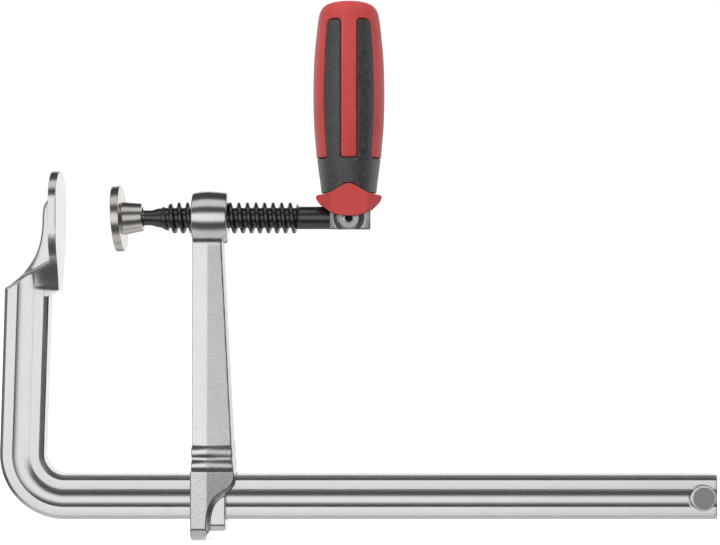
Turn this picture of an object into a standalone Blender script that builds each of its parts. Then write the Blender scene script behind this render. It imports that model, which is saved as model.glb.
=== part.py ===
"""F clamp: forged rail with fixed jaw, sliding arm, screw spindle and folding handle.

Metres, +Z up. The origin is the centre of the fixed jaw's face, on the spindle axis.
+X runs along the rail, from the fixed jaw to the handle.
"""

import math

import bmesh
import bpy
from mathutils import Matrix, Vector

# Driving dimensions -------------------------------------------------------------------

GAP = 0.0003              # play between pieces that touch
THROAT = 0.1200           # spindle axis to the rail's inner edge
RAIL_END_X = 0.3068       # free end of the rail
RAIL_HEIGHT = 0.0207      # rail section along Z
RAIL_WIDTH = 0.0110       # rail section along Y
RAIL_EDGE = (0.0024, 0.0017)   # chamfer heights at the inner and outer edges
RAIL_EDGE_DEPTH = 0.0010  # chamfer depth into the side
GROOVE_WIDTH = 0.0083
GROOVE_SHIFT = -0.0003    # towards the outer edge
GROOVE_DEPTH = 0.00095
BEND_RADIUS = 0.0201      # on the rail's centreline
BEND_X = 0.0027           # centre of the bend
ARM_LEAN = math.radians(1.78)  # the fixed arm leans towards the sliding arm

PAD_RADIUS = 0.0142
PAD_CENTRE_Z = 0.0078
PAD_THICKNESS = 0.0037
PAD_FOOT_Z = -0.0338
RIB_WIDTH = 0.0046

STOP_X = 0.2998
STOP_HEAD_RADIUS = 0.0060
STOP_FACE_RADIUS = 0.0049
STOP_HEAD_HEIGHT = 0.0024
STOP_SHAFT_RADIUS = 0.0030

EYE_X = (0.0618, 0.0785)  # ends of the sliding arm's eye
EYE_RADIUS = 0.01265
EYE_END_RADIUS = 0.0119
RIDGE_X = 0.0692          # parting ridge of the forging
SHANK_Z = (-0.0132, -0.1030)     # the shank's sizes below are (top, foot) at these heights
SHANK_LEFT_X = (0.0621, 0.0621)
SHANK_RIGHT_X = (0.0761, 0.0808)
SHANK_EDGE = (0.0070, 0.0094)    # half depth at the left and right edges
SHANK_RIDGE = (0.0078, 0.0104)   # half depth at the parting ridge
BEAD_TOPS = (-0.1064, -0.1124)
BEAD_HEIGHT = 0.0048
BEAD_SWELL = (0.0, 0.0004, 0.0005, 0.0004, -0.0001)
HEAD_HALF_DEPTH = 0.0110  # slider head, along Y
WEB_HALF_DEPTH = 0.0086   # recessed web beside the rail
WINDOW_PLAY = 0.0004      # slider window to rail, each side

PITCH = 0.0040
CREST_RADIUS = 0.00725
ROOT_RADIUS = 0.00475
CREST_HALF_WIDTH = 0.00055
ROOT_HALF_WIDTH = 0.00065
THREAD_PHASE_X = 0.0514   # a crest on the +Z side
THREAD_END_X = 0.1120
THREAD_PLAY = 0.00022

BALL_X = 0.0326
BALL_RADIUS = 0.0048
NECK_RADIUS = 0.00355
RING_GROOVE_RADIUS = 0.00275
SHANK_RADIUS = 0.0053
FORK_X = (0.1260, 0.1451)
FORK_HALF_HEIGHT = 0.00535
FORK_HALF_WIDTH = 0.0060
FORK_FLOOR_X = 0.1295
FORK_SLOT_HALF = 0.0027

PIVOT_X = 0.1350
PIN_RADIUS = 0.0025
PIN_WALL = 0.0006
PIN_SLIT = 0.0006

PLATE_TILT = math.radians(3.6)
PLATE_RADIUS = 0.0155
PLATE_THICKNESS = 0.0040
PLATE_FACE = -0.0074      # pressing face, along the plate's axis from the ball's centre
PLATE_MOUTH = 0.0059      # boss end, along the same axis
BOSS_RADII = (0.0078, 0.0065)
SOCKET_RADIUS = 0.0051
MOUTH_RADIUS = 0.00455
RING_OFFSET = 0.0043
RING_RADIUS = 0.0036
RING_WIRE = 0.0005

# Handle sizes are heights above the pivot when the handle stands up.
TONGUE_HALF_WIDTH = 0.0024
TONGUE_EYE_RADIUS = 0.0052
TANG_HALF = 0.0040
TANG_TOP = 0.0600
COLLAR_HALF_DEPTH = 0.0143
COLLAR_SEAT_DEPTH = 0.0126     # the gables stand outside this, in front of the grip
COLLAR_TOP = 0.0111
COLLAR_WING = 0.0154
COLLAR_FACET = 0.0085
FORK_SWEEP_RADIUS = 0.0119
GRIP_FOOT = 0.0114
GRIP_TOP = 0.0915
FINGER_FOOT = 0.0275
FINGER_HALF_WIDTH = 0.00375
PANEL_ANGLE = math.radians(44.6)
GRIP_DEPTH = 0.0022
BARREL = (
    (0.0114, 0.0130),
    (0.0160, 0.0135),
    (0.0210, 0.0142),
    (0.0280, 0.0151),
    (0.0360, 0.0158),
    (0.0430, 0.0164),
    (0.0580, 0.0168),
    (0.0750, 0.0163),
    (0.0840, 0.0154),
    (0.0930, 0.0144),
    (0.0970, 0.0134),
    (0.0995, 0.0112),
    (0.1009, 0.0070),
    (0.1013, 0.0),
)

RAIL_CENTRE_Z = -THROAT - RAIL_HEIGHT / 2

ROUND = 32                # facets round the turned pieces
THREAD_FACETS = 24
BARREL_FACETS = 40

# World placement of an outline drawn in local XY.
FLAT_XY = Matrix.Identity(4)
FLAT_XZ = Matrix.Rotation(math.radians(90), 4, "X")
FLAT_YZ = Matrix(((0, 0, 1, 0), (1, 0, 0, 0), (0, 1, 0, 0), (0, 0, 0, 1)))
TURN_TO_X = Matrix.Rotation(math.radians(90), 4, "Y")
TURN_TO_Y = Matrix.Rotation(math.radians(-90), 4, "X")

parts = None
cutters = None


# Modelling helpers --------------------------------------------------------------------

def new_collection(name):
    collection = bpy.data.collections.new(name)
    bpy.context.scene.collection.children.link(collection)
    return collection


def place(name, data, matrix=FLAT_XY):
    """Link a new object as a cutter; finish_node turns the visible ones into parts."""
    obj = bpy.data.objects.new(name, data)
    cutters.objects.link(obj)
    obj.matrix_world = matrix
    obj.hide_render = True
    obj.display_type = "WIRE"
    return obj


def finish_node(obj, colour, roughness, metallic, parent=None):
    """Make an object one of the clamp's pieces, with its own material."""
    cutters.objects.unlink(obj)
    parts.objects.link(obj)
    obj.hide_render = False
    obj.display_type = "TEXTURED"
    material = bpy.data.materials.new(obj.name)
    material.use_nodes = True
    shader = material.node_tree.nodes["Principled BSDF"]
    shader.inputs["Base Color"].default_value = (*colour, 1.0)
    shader.inputs["Roughness"].default_value = roughness
    shader.inputs["Metallic"].default_value = metallic
    material.diffuse_color = (*colour, 1.0)
    obj.data.materials.clear()
    obj.data.materials.append(material)
    if parent:
        bpy.context.view_layer.update()
        obj.parent = parent
        obj.matrix_parent_inverse = parent.matrix_world.inverted()
    return obj


def joint_empty(name, location):
    empty = bpy.data.objects.new(name, None)
    parts.objects.link(empty)
    empty.location = location
    bpy.context.view_layer.update()
    return empty


def combine(target, tool, operation):
    modifier = target.modifiers.new(operation.lower(), "BOOLEAN")
    modifier.operation = operation
    modifier.solver = "EXACT"
    modifier.object = tool
    return target


def mesh_of_curve(obj):
    """Replace a curve object by its mesh, with the caps welded on."""
    bpy.context.view_layer.update()
    evaluated = obj.evaluated_get(bpy.context.evaluated_depsgraph_get())
    mesh = bpy.data.meshes.new_from_object(evaluated)
    bm = bmesh.new()
    bm.from_mesh(mesh)
    bmesh.ops.remove_doubles(bm, verts=bm.verts, dist=1e-6)
    bmesh.ops.recalc_face_normals(bm, faces=bm.faces)
    bm.to_mesh(mesh)
    bm.free()
    name, matrix = obj.name, obj.matrix_world.copy()
    bpy.data.objects.remove(obj, do_unlink=True)
    return place(name, mesh, matrix)


def poly_curve(name, points, cyclic):
    curve = bpy.data.curves.new(name, "CURVE")
    curve.dimensions = "2D"
    spline = curve.splines.new("POLY")
    spline.points.add(len(points) - 1)
    for point, (u, v) in zip(spline.points, points):
        point.co = (u, v, 0.0, 1.0)
    spline.use_cyclic_u = cyclic
    return curve


def slab(name, outline, half_thickness, matrix):
    """A flat outline extruded to both sides of its plane."""
    curve = poly_curve(name, outline, cyclic=True)
    curve.fill_mode = "BOTH"
    curve.extrude = half_thickness
    return mesh_of_curve(place(name, curve, matrix))


def box(name, low, high):
    mesh = bpy.data.meshes.new(name)
    size = Vector(high) - Vector(low)
    centre = (Vector(high) + Vector(low)) / 2
    bm = bmesh.new()
    bmesh.ops.create_cube(bm, size=1.0, matrix=Matrix.Translation(centre) @ Matrix.Diagonal((*size, 1.0)))
    bm.to_mesh(mesh)
    bm.free()
    return place(name, mesh)


def rod(name, radius, ends, matrix, segments=ROUND):
    """A plain cylinder along the matrix's local Z, between two heights."""
    mesh = bpy.data.meshes.new(name)
    bm = bmesh.new()
    bmesh.ops.create_cone(
        bm, cap_ends=True, segments=segments, radius1=radius, radius2=radius,
        depth=ends[1] - ends[0], matrix=Matrix.Translation((0, 0, sum(ends) / 2)),
    )
    bm.to_mesh(mesh)
    bm.free()
    return place(name, mesh, matrix)


def turned(name, profile, matrix, steps=ROUND, ring=False):
    """Turn (radius, height) points about local Z; the outer side runs from top to bottom."""
    mesh = bpy.data.meshes.new(name)
    vertices = [(radius, 0.0, height) for radius, height in profile]
    edges = [(i, i + 1) for i in range(len(vertices) - 1)]
    if ring:
        edges.append((len(vertices) - 1, 0))
    mesh.from_pydata(vertices, edges, [])
    obj = place(name, mesh, matrix)
    screw = obj.modifiers.new("turn", "SCREW")
    screw.steps = steps
    screw.render_steps = steps
    screw.use_merge_vertices = True
    screw.merge_threshold = 1e-5
    screw.use_smooth_shade = True
    return obj


def arc(centre, radius, start, end, steps):
    """Points of an arc, angles in degrees from the outline's first axis."""
    angles = [math.radians(start + (end - start) * i / steps) for i in range(steps + 1)]
    return [(centre[0] + radius * math.cos(a), centre[1] + radius * math.sin(a)) for a in angles]


def smooth_by_angle(obj, degrees=35):
    mesh = obj.data
    mesh.shade_smooth()
    mesh.set_sharp_from_angle(angle=math.radians(degrees))
    return obj


# Rail and fixed jaw -------------------------------------------------------------------

def rail_section():
    """Rolled section: u across the height, v across the width, grooved on both sides."""
    half_height = RAIL_HEIGHT / 2
    half_width = RAIL_WIDTH / 2
    inner, outer = RAIL_EDGE
    half_groove = GROOVE_WIDTH / 2
    arc_radius = (half_groove ** 2 + GROOVE_DEPTH ** 2) / (2 * GROOVE_DEPTH)
    half_angle = math.degrees(math.asin(half_groove / arc_radius))
    groove_centre = (GROOVE_SHIFT, half_width - GROOVE_DEPTH + arc_radius)
    side = [(half_height, half_width - RAIL_EDGE_DEPTH), (half_height - inner, half_width)]
    side += arc(groove_centre, arc_radius, -90 + half_angle, -90 - half_angle, 8)
    side += [(outer - half_height, half_width), (-half_height, half_width - RAIL_EDGE_DEPTH)]
    return side + [(u, -v) for u, v in reversed(side)]


def rail_path():
    """Centreline in X and Z, from the free end round the bend and up the fixed arm."""
    centre = (BEND_X, RAIL_CENTRE_Z + BEND_RADIUS)
    lean = math.degrees(ARM_LEAN)
    bend = arc(centre, BEND_RADIUS, 270, 180 - lean, 12)
    rise = -0.010 - bend[-1][1]
    top = (bend[-1][0] + rise * math.tan(ARM_LEAN), bend[-1][1] + rise)
    return [(RAIL_END_X, RAIL_CENTRE_Z)] + bend + [top]


def make_rail():
    section = place("rail_section", poly_curve("rail_section", rail_section(), cyclic=True))
    curve = poly_curve("rail_and_fixed_jaw", rail_path(), cyclic=False)
    curve.bevel_mode = "OBJECT"
    curve.bevel_object = section
    curve.use_fill_caps = True
    rail = mesh_of_curve(place("rail_and_fixed_jaw", curve, FLAT_XZ))
    bpy.data.objects.remove(section, do_unlink=True)

    # The rolled section ends on a slope behind the pad.
    slope = [(-0.040, -0.0409), (0.010, -0.0130), (0.010, 0.010), (-0.040, 0.010)]
    combine(rail, slab("arm_top_slope", slope, 0.020, FLAT_XZ), "DIFFERENCE")

    pad_outline = arc((0.0, PAD_CENTRE_Z), PAD_RADIUS, 0, 180, 20)
    taper = [(PAD_RADIUS, -0.0080), (0.0103, -0.0197), (0.0058, -0.0310), (0.0056, PAD_FOOT_Z)]
    pad_outline += [(-y, z) for y, z in taper] + list(reversed(taper))
    shift = Matrix.Translation((-PAD_THICKNESS / 2, 0.0, 0.0))
    pad = slab("jaw_pad", pad_outline, PAD_THICKNESS / 2, shift @ FLAT_YZ)

    # A thin rib carries the pad from behind, down to the arm's outer corner.
    rib_back = [
        (-0.0030, 0.0110), (-0.0062, 0.0090), (-0.0070, 0.0060), (-0.0082, -0.0058),
        (-0.0096, -0.0132), (-0.0128, -0.0200), (-0.0175, -0.0262), (-0.0212, -0.0294),
        (-0.0242, -0.0322),
    ]
    rib = slab("jaw_rib", rib_back + [(-0.0150, -0.0400), (-0.0010, -0.0330)], RIB_WIDTH / 2, FLAT_XZ)

    # Below the rib the pad runs out into the arm's inner face.
    foot = [(-0.0002, -0.0205), (-0.0002, PAD_FOOT_Z), (-0.0054, -0.0366), (-0.0120, -0.0366), (-0.0120, -0.0240)]
    foot_block = slab("jaw_foot", foot, RAIL_WIDTH / 2 - 0.0002, FLAT_XZ)

    for piece in (pad, rib, foot_block):
        combine(rail, piece, "UNION")
    hole = rod("stop_hole", STOP_SHAFT_RADIUS + GAP, (-0.02, 0.02), stop_matrix(), 24)
    combine(rail, hole, "DIFFERENCE")
    return finish_node(smooth_by_angle(rail), (0.62, 0.62, 0.63), 0.28, 1.0)


# Stop pin -----------------------------------------------------------------------------

def stop_matrix():
    return Matrix.Translation((STOP_X, 0.0, RAIL_CENTRE_Z)) @ TURN_TO_Y


def make_stop_pin():
    """Riveted pin; its chamfered heads stop the sliding arm at the rail's end."""
    seat = RAIL_WIDTH / 2 + GAP
    rim = seat + STOP_HEAD_HEIGHT * 0.35
    top = seat + STOP_HEAD_HEIGHT
    upper = [
        (0.0, top), (STOP_FACE_RADIUS, top), (STOP_HEAD_RADIUS, rim),
        (STOP_HEAD_RADIUS, seat), (STOP_SHAFT_RADIUS, seat),
    ]
    profile = upper + [(radius, -height) for radius, height in reversed(upper)]
    pin = turned("rail_stop_pin", profile, stop_matrix(), 24)
    return finish_node(pin, (0.55, 0.55, 0.56), 0.35, 1.0)


# Sliding arm --------------------------------------------------------------------------

def loft(name, sections):
    """Skin sections of equal point count, from top to bottom, and close both ends."""
    mesh = bpy.data.meshes.new(name)
    bm = bmesh.new()
    rings = [[bm.verts.new(point) for point in section] for section in sections]
    count = len(rings[0])
    for upper, lower in zip(rings, rings[1:]):
        for i in range(count):
            j = (i + 1) % count
            bm.faces.new((upper[i], upper[j], lower[j], lower[i]))
    bm.faces.new(rings[0])
    bm.faces.new(rings[-1])
    bmesh.ops.recalc_face_normals(bm, faces=bm.faces)
    bm.to_mesh(mesh)
    bm.free()
    return place(name, mesh)


def shank_section(z, swell):
    """Six-sided forging section: drafted to both sides of the parting ridge."""
    run = (SHANK_Z[0] - z) / (SHANK_Z[0] - SHANK_Z[1])
    left, right, edge, ridge = (
        top + (foot - top) * run for top, foot in (SHANK_LEFT_X, SHANK_RIGHT_X, SHANK_EDGE, SHANK_RIDGE)
    )
    side = [(left - swell / 2, edge), (RIDGE_X, ridge), (right + swell / 2, edge)]
    half = [(x, depth + swell) for x, depth in side]
    return [(x, y, z) for x, y in half] + [(x, -y, z) for x, y in reversed(half)]


def make_sliding_arm():
    stations = [(-0.0060, 0.0), (-0.0700, 0.0)]
    for top in BEAD_TOPS:
        stations += [(top - BEAD_HEIGHT * i / 4, swell) for i, swell in enumerate(BEAD_SWELL)]
    stations += [(-0.1190, 0.0002)]
    arm = loft("sliding_arm", [shank_section(z, swell) for z, swell in stations])

    middle = sum(EYE_X) / 2
    eye_profile = [
        (0.0, EYE_X[1]), (EYE_END_RADIUS - 0.0005, EYE_X[1]), (EYE_END_RADIUS, EYE_X[1] - 0.0005),
        (EYE_RADIUS - 0.0002, middle + 0.0030), (EYE_RADIUS, RIDGE_X), (EYE_RADIUS - 0.0002, middle - 0.0045),
        (EYE_END_RADIUS, EYE_X[0] + 0.0005), (EYE_END_RADIUS - 0.0005, EYE_X[0]), (0.0, EYE_X[0]),
    ]
    combine(arm, turned("arm_eye", eye_profile, TURN_TO_X, 40), "UNION")

    # Slider head: thick cheeks on the left, a recessed web at the lower right.
    cheek = [
        (0.0614, -0.1166), (0.0817, -0.1166), (0.0822, -0.1199), (0.0807, -0.1241), (0.0776, -0.1266),
        (0.0739, -0.1287), (0.0713, -0.1317), (0.0698, -0.1354), (0.0689, -0.1400),
        (0.0687, -0.1492), (0.0681, -0.1498), (0.0622, -0.1498), (0.0614, -0.1490),
    ]
    web = [
        (0.0616, -0.1168), (0.0815, -0.1168), (0.0819, -0.1199), (0.0800, -0.1239), (0.0778, -0.1262),
        (0.0778, -0.1452), (0.0771, -0.1458), (0.0616, -0.1458),
    ]
    combine(arm, slab("head_cheek", cheek, HEAD_HALF_DEPTH, FLAT_XZ), "UNION")
    combine(arm, slab("head_web", web, WEB_HALF_DEPTH, FLAT_XZ), "UNION")

    half_width = RAIL_WIDTH / 2 + WINDOW_PLAY
    top = -THROAT + WINDOW_PLAY
    bottom = -THROAT - RAIL_HEIGHT - WINDOW_PLAY
    window = box("rail_window", (0.050, -half_width, bottom), (0.095, half_width, top))
    combine(arm, window, "DIFFERENCE")
    nut = thread("nut_thread", 0.0574, 7, THREAD_PLAY)
    combine(arm, nut, "DIFFERENCE")
    return finish_node(smooth_by_angle(arm, 25), (0.60, 0.60, 0.61), 0.34, 1.0)


# Spindle ------------------------------------------------------------------------------

def thread(name, start, turns, play):
    """Right-hand screw about X, one pitch longer than its turns, with flat end faces."""
    root = ROOT_RADIUS + play
    crest = CREST_RADIUS + play
    root_half = ROOT_HALF_WIDTH - play
    crest_half = CREST_HALF_WIDTH + play
    first = math.floor((start - THREAD_PHASE_X) / PITCH)
    points = []
    for turn in range(first, first + turns):
        crest_x = THREAD_PHASE_X + turn * PITCH
        valley_x = crest_x - PITCH / 2
        points += [(valley_x + root_half, root), (crest_x - crest_half, crest)]
        points += [(crest_x + crest_half, crest), (crest_x + PITCH / 2 - root_half, root)]
    points = [(points[0][0], 0.0)] + points + [(points[-1][0], 0.0)]

    mesh = bpy.data.meshes.new(name)
    bm = bmesh.new()
    verts = [bm.verts.new((x, 0.0, radius)) for x, radius in points]
    edges = [bm.edges.new(pair) for pair in zip(verts, verts[1:])]
    bmesh.ops.spin(
        bm, geom=verts + edges, cent=(0.0, 0.0, 0.0), axis=(1.0, 0.0, 0.0), angle=math.tau,
        dvec=(PITCH / THREAD_FACETS, 0.0, 0.0), steps=THREAD_FACETS, use_duplicate=False,
    )
    bmesh.ops.remove_doubles(bm, verts=bm.verts, dist=2e-6)
    boundary = [edge for edge in bm.edges if edge.is_boundary]
    bmesh.ops.holes_fill(bm, edges=boundary, sides=0)
    bmesh.ops.recalc_face_normals(bm, faces=bm.faces)
    bm.to_mesh(mesh)
    bm.free()
    return place(name, mesh)


def make_spindle():
    """Ball end, neck, cone, threaded length, plain shank and the fork for the handle."""
    ball_steps = 8
    groove_x = BALL_X + math.sqrt(BALL_RADIUS ** 2 - RING_GROOVE_RADIUS ** 2)
    neck_x = BALL_X + RING_OFFSET + RING_WIRE + GAP
    last_angle = math.degrees(math.acos((groove_x - BALL_X) / BALL_RADIUS))
    ball = arc((BALL_X, 0.0), BALL_RADIUS, last_angle, 180, ball_steps)
    body = [
        (0.0, FORK_X[0] + 0.0010), (SHANK_RADIUS, FORK_X[0] + 0.0010),
        (SHANK_RADIUS, THREAD_END_X - 0.0010), (ROOT_RADIUS - 0.00015, THREAD_END_X - 0.0020),
        (ROOT_RADIUS - 0.00015, 0.0490), (0.0045, 0.0458), (NECK_RADIUS, 0.0425),
        (NECK_RADIUS, neck_x), (RING_GROOVE_RADIUS, neck_x),
    ]
    profile = body + [(max(radius, 0.0), x) for x, radius in ball]
    profile[-1] = (0.0, BALL_X - BALL_RADIUS)
    spindle = turned("spindle", profile, TURN_TO_X)

    # The thread runs out on a cone at the front and on a short chamfer at the shank.
    clear = CREST_RADIUS + 0.0004
    envelope = [
        (0.0, THREAD_END_X), (SHANK_RADIUS - 0.0003, THREAD_END_X),
        (clear, THREAD_END_X - 0.0018), (clear, 0.0528), (0.0049, 0.0474),
        (0.0030, 0.0470), (0.0, 0.0470),
    ]
    ridge = thread("spindle_thread", 0.0390, 21, 0.0)
    off_facet = TURN_TO_X @ Matrix.Rotation(math.radians(2.5), 4, "Z")
    combine(ridge, turned("thread_envelope", envelope, off_facet), "INTERSECT")
    combine(spindle, ridge, "UNION")

    low = (FORK_X[0], -FORK_HALF_WIDTH, -FORK_HALF_HEIGHT)
    high = (FORK_X[1], FORK_HALF_WIDTH, FORK_HALF_HEIGHT)
    combine(spindle, box("fork_block", low, high), "UNION")
    slot_low = (FORK_FLOOR_X, -FORK_SLOT_HALF, -0.0100)
    slot_high = (FORK_X[1] + 0.0020, FORK_SLOT_HALF, 0.0100)
    combine(spindle, box("fork_slot", slot_low, slot_high), "DIFFERENCE")
    pivot = Matrix.Translation((PIVOT_X, 0.0, 0.0)) @ TURN_TO_Y
    combine(spindle, rod("fork_hole", PIN_RADIUS + GAP, (-0.02, 0.02), pivot, 24), "DIFFERENCE")
    return finish_node(smooth_by_angle(spindle), (0.035, 0.035, 0.037), 0.38, 0.85)


def make_pivot_pin():
    """Slotted spring pin: a rolled tube with an open slit."""
    half = FORK_HALF_WIDTH - 0.0001
    inner = PIN_RADIUS - PIN_WALL
    slit = math.degrees(PIN_SLIT / PIN_RADIUS)
    outline = arc((0.0, 0.0), PIN_RADIUS, 90 + slit, 450 - slit, 24)
    outline += arc((0.0, 0.0), inner, 450 - slit, 90 + slit, 24)
    matrix = Matrix.Translation((PIVOT_X, 0.0, 0.0)) @ FLAT_XZ
    pin = slab("handle_pivot_pin", outline, half, matrix)
    return finish_node(smooth_by_angle(pin), (0.50, 0.50, 0.51), 0.30, 1.0)


# Pressure plate -----------------------------------------------------------------------

def make_pressure_plate():
    """Round plate with a socket that swivels on the spindle's ball."""
    bend = 0.0006
    shoulder = PLATE_FACE + PLATE_THICKNESS
    boss_base, boss_end = BOSS_RADII
    bottom = arc((0.0, 0.0), SOCKET_RADIUS, -90, 0, 7)
    profile = [(radius, height) for radius, height in bottom]
    profile[0] = (0.0, -SOCKET_RADIUS)
    lip = PLATE_MOUTH - 0.0006
    profile += [(SOCKET_RADIUS, lip), (MOUTH_RADIUS, lip), (MOUTH_RADIUS, PLATE_MOUTH)]
    profile += [(boss_end - bend, PLATE_MOUTH), (boss_end, PLATE_MOUTH - bend)]
    profile += [(boss_base, shoulder), (PLATE_RADIUS - bend, shoulder), (PLATE_RADIUS, shoulder - bend)]
    profile += [(PLATE_RADIUS, PLATE_FACE + bend), (PLATE_RADIUS - bend, PLATE_FACE), (0.0, PLATE_FACE)]
    tilt = Matrix.Rotation(-PLATE_TILT, 4, "Y")
    matrix = Matrix.Translation((BALL_X, 0.0, 0.0)) @ tilt @ TURN_TO_X
    plate = turned("pressure_plate", profile, matrix)
    return finish_node(plate, (0.66, 0.63, 0.60), 0.25, 1.0)


def make_retaining_ring():
    """Wire ring behind the ball, which keeps the plate on the spindle."""
    wire = arc((RING_RADIUS, 0.0), RING_WIRE, 90, -270, 10)[:-1]
    ring = turned("plate_retaining_ring", wire, TURN_TO_X, 24, ring=True)
    ring.location.x = BALL_X + RING_OFFSET
    return finish_node(ring, (0.45, 0.45, 0.46), 0.35, 1.0)


# Handle -------------------------------------------------------------------------------

def at_pivot(matrix=FLAT_XY):
    return Matrix.Translation((PIVOT_X, 0.0, 0.0)) @ matrix


def make_tongue(parent):
    """Flat steel tongue: an eye on the pivot pin and a tang moulded into the handle."""
    rise = math.degrees(math.asin(TANG_HALF / TONGUE_EYE_RADIUS))
    outline = arc((0.0, 0.0), TONGUE_EYE_RADIUS, 90 + rise, 450 - rise, 24)
    outline += [(TANG_HALF, TANG_TOP), (-TANG_HALF, TANG_TOP)]
    tongue = slab("handle_tongue", outline, TONGUE_HALF_WIDTH, at_pivot(FLAT_XZ))
    hole = rod("tongue_hole", PIN_RADIUS + GAP, (-0.01, 0.01), at_pivot(TURN_TO_Y), 24)
    combine(tongue, hole, "DIFFERENCE")
    return finish_node(smooth_by_angle(tongue), (0.12, 0.12, 0.125), 0.40, 0.9, parent)


def tang_pocket(name, low, high):
    """Pocket for the tang, a gap larger all round."""
    half_x = TANG_HALF + GAP
    half_y = TONGUE_HALF_WIDTH + GAP
    return box(name, (PIVOT_X - half_x, -half_y, low), (PIVOT_X + half_x, half_y, high))


def barrel_radius(height):
    """Radius of the handle's barrel, straight between the listed heights."""
    for (low, low_radius), (high, high_radius) in zip(BARREL, BARREL[1:]):
        if low <= height <= high:
            return low_radius + (high_radius - low_radius) * (height - low) / (high - low)
    return 0.0


def grip_region(name, play):
    """The soft grip's space: a sleeve left open for the core's fingers and panels."""
    heights = [z for z, radius in BARREL if z < GRIP_TOP] + [GRIP_TOP]
    outer = [(barrel_radius(z) + play, z) for z in heights]
    inner = [(radius - GRIP_DEPTH - 2 * play, z) for radius, z in outer]
    for wall in (outer, inner):
        wall[0] = (wall[0][0], GRIP_FOOT - play)
        wall[-1] = (wall[-1][0], GRIP_TOP + play)
    sleeve = turned(name, inner + list(reversed(outer)), at_pivot(), BARREL_FACETS, ring=True)

    foot = FINGER_FOOT + play
    top = GRIP_TOP + 0.010
    half = FINGER_HALF_WIDTH - play + GAP
    low, high = (PIVOT_X - half, -0.03, foot), (PIVOT_X + half, 0.03, top)
    combine(sleeve, box(name + "_finger", low, high), "DIFFERENCE")
    reach = 0.030
    shift = (play - GAP) / math.sin(PANEL_ANGLE)
    for side, label in ((1, "right"), (-1, "left")):
        tip = (side * shift, 0.0)
        far_x = side * (shift + reach * math.sin(PANEL_ANGLE))
        far_y = reach * math.cos(PANEL_ANGLE)
        wedge = [tip, (far_x, far_y), (far_x, -far_y)]
        height = (top - foot) / 2
        lift = Matrix.Translation((PIVOT_X, 0.0, foot + height))
        combine(sleeve, slab(f"{name}_{label}_panel", wedge, height, lift), "DIFFERENCE")
    return sleeve


def make_core(parent):
    """Hard moulded core: dome, four raised panels and the pocket for the tang."""
    profile = [(radius, z) for z, radius in reversed(BARREL)] + [(0.0, GRIP_FOOT)]
    half_facet = Matrix.Rotation(math.pi / BARREL_FACETS, 4, "Z")
    core = turned("handle_core", profile, at_pivot(half_facet), BARREL_FACETS)
    combine(core, grip_region("grip_pocket", GAP), "DIFFERENCE")
    combine(core, tang_pocket("core_pocket", 0.0, TANG_TOP + 0.0010), "DIFFERENCE")
    combine(core, fork_sweep("core_roof", GAP), "DIFFERENCE")
    return finish_node(core, (0.50, 0.055, 0.050), 0.42, 0.0, parent)


def make_soft_grip(parent):
    """Soft grip moulded round the core's foot and into its four grooves."""
    grip = grip_region("handle_soft_grip", 0.0)
    outline = [(x, z + GAP) for x, z in shield_outline()]
    for side, label in ((1, "back"), (-1, "front")):
        shift = Matrix.Translation((0.0, side * (COLLAR_SEAT_DEPTH - GAP + 0.005), 0.0))
        gable = slab(f"{label}_gable_pocket", outline, 0.005, shift @ at_pivot(FLAT_XZ))
        combine(grip, gable, "DIFFERENCE")
    return finish_node(grip, (0.045, 0.047, 0.048), 0.65, 0.0, parent)


def shield_outline():
    """The collar seen from the front: a gable over a rounded foot."""
    half = [
        (0.0, 0.0157), (0.0024, 0.0151), (0.0052, 0.0133), (0.0077, 0.0117), (0.0106, 0.0109),
        (0.0148, 0.0103), (COLLAR_WING, 0.0095), (0.0150, 0.0080), (0.0134, 0.0062),
        (0.0107, 0.0039), (0.0079, 0.0021), (0.0052, 0.0011), (0.0, 0.0006),
    ]
    return half + [(-x, z) for x, z in reversed(half[1:-1])]


def fork_sweep(name, play):
    """The space that the fork turns in, open to both sides for the spindle's shank."""
    shank_top = FORK_HALF_HEIGHT + GAP
    radius = FORK_SWEEP_RADIUS + play
    reach = math.degrees(math.asin(shank_top / radius))
    roof = [(0.030, -0.010), (0.030, shank_top)]
    roof += arc((0.0, 0.0), radius, reach, 180 - reach, 12)
    roof += [(-0.030, shank_top), (-0.030, -0.010)]
    return slab(name, roof, FORK_HALF_WIDTH + GAP + play, at_pivot(FLAT_XZ))


def make_collar(parent):
    """Shield-shaped collar: two cheeks that straddle the fork, open below for the spindle."""
    collar = slab("handle_collar", shield_outline(), COLLAR_HALF_DEPTH, at_pivot(FLAT_XZ))
    side_y = 0.0086
    facets = [(COLLAR_FACET, COLLAR_HALF_DEPTH + 0.0002), (COLLAR_WING + 0.0002, side_y)]
    facets += [(x, -y) for x, y in reversed(facets)]
    facets += [(-x, -y) for x, y in facets]
    lift = Matrix.Translation((PIVOT_X, 0.0, 0.0))
    combine(collar, slab("collar_facets", facets, 0.030, lift), "INTERSECT")
    low = (PIVOT_X - 0.020, -COLLAR_SEAT_DEPTH, COLLAR_TOP)
    high = (PIVOT_X + 0.020, COLLAR_SEAT_DEPTH, 0.020)
    combine(collar, box("grip_seat", low, high), "DIFFERENCE")
    combine(collar, fork_sweep("collar_roof", 0.0), "DIFFERENCE")
    combine(collar, tang_pocket("collar_pocket", 0.0, 0.020), "DIFFERENCE")
    return finish_node(collar, (0.50, 0.055, 0.050), 0.42, 0.0, parent)


# Assembly -----------------------------------------------------------------------------

def main():
    global parts, cutters
    for obj in list(bpy.data.objects):
        bpy.data.objects.remove(obj, do_unlink=True)
    parts = new_collection("f_clamp")
    cutters = new_collection("cutters")

    make_rail()
    make_stop_pin()
    make_sliding_arm()
    make_spindle()
    make_pressure_plate()
    make_retaining_ring()
    make_pivot_pin()
    pivot = joint_empty("handle_pivot", (PIVOT_X, 0.0, 0.0))
    make_tongue(pivot)
    make_core(pivot)
    make_soft_grip(pivot)
    make_collar(pivot)


main()
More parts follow.
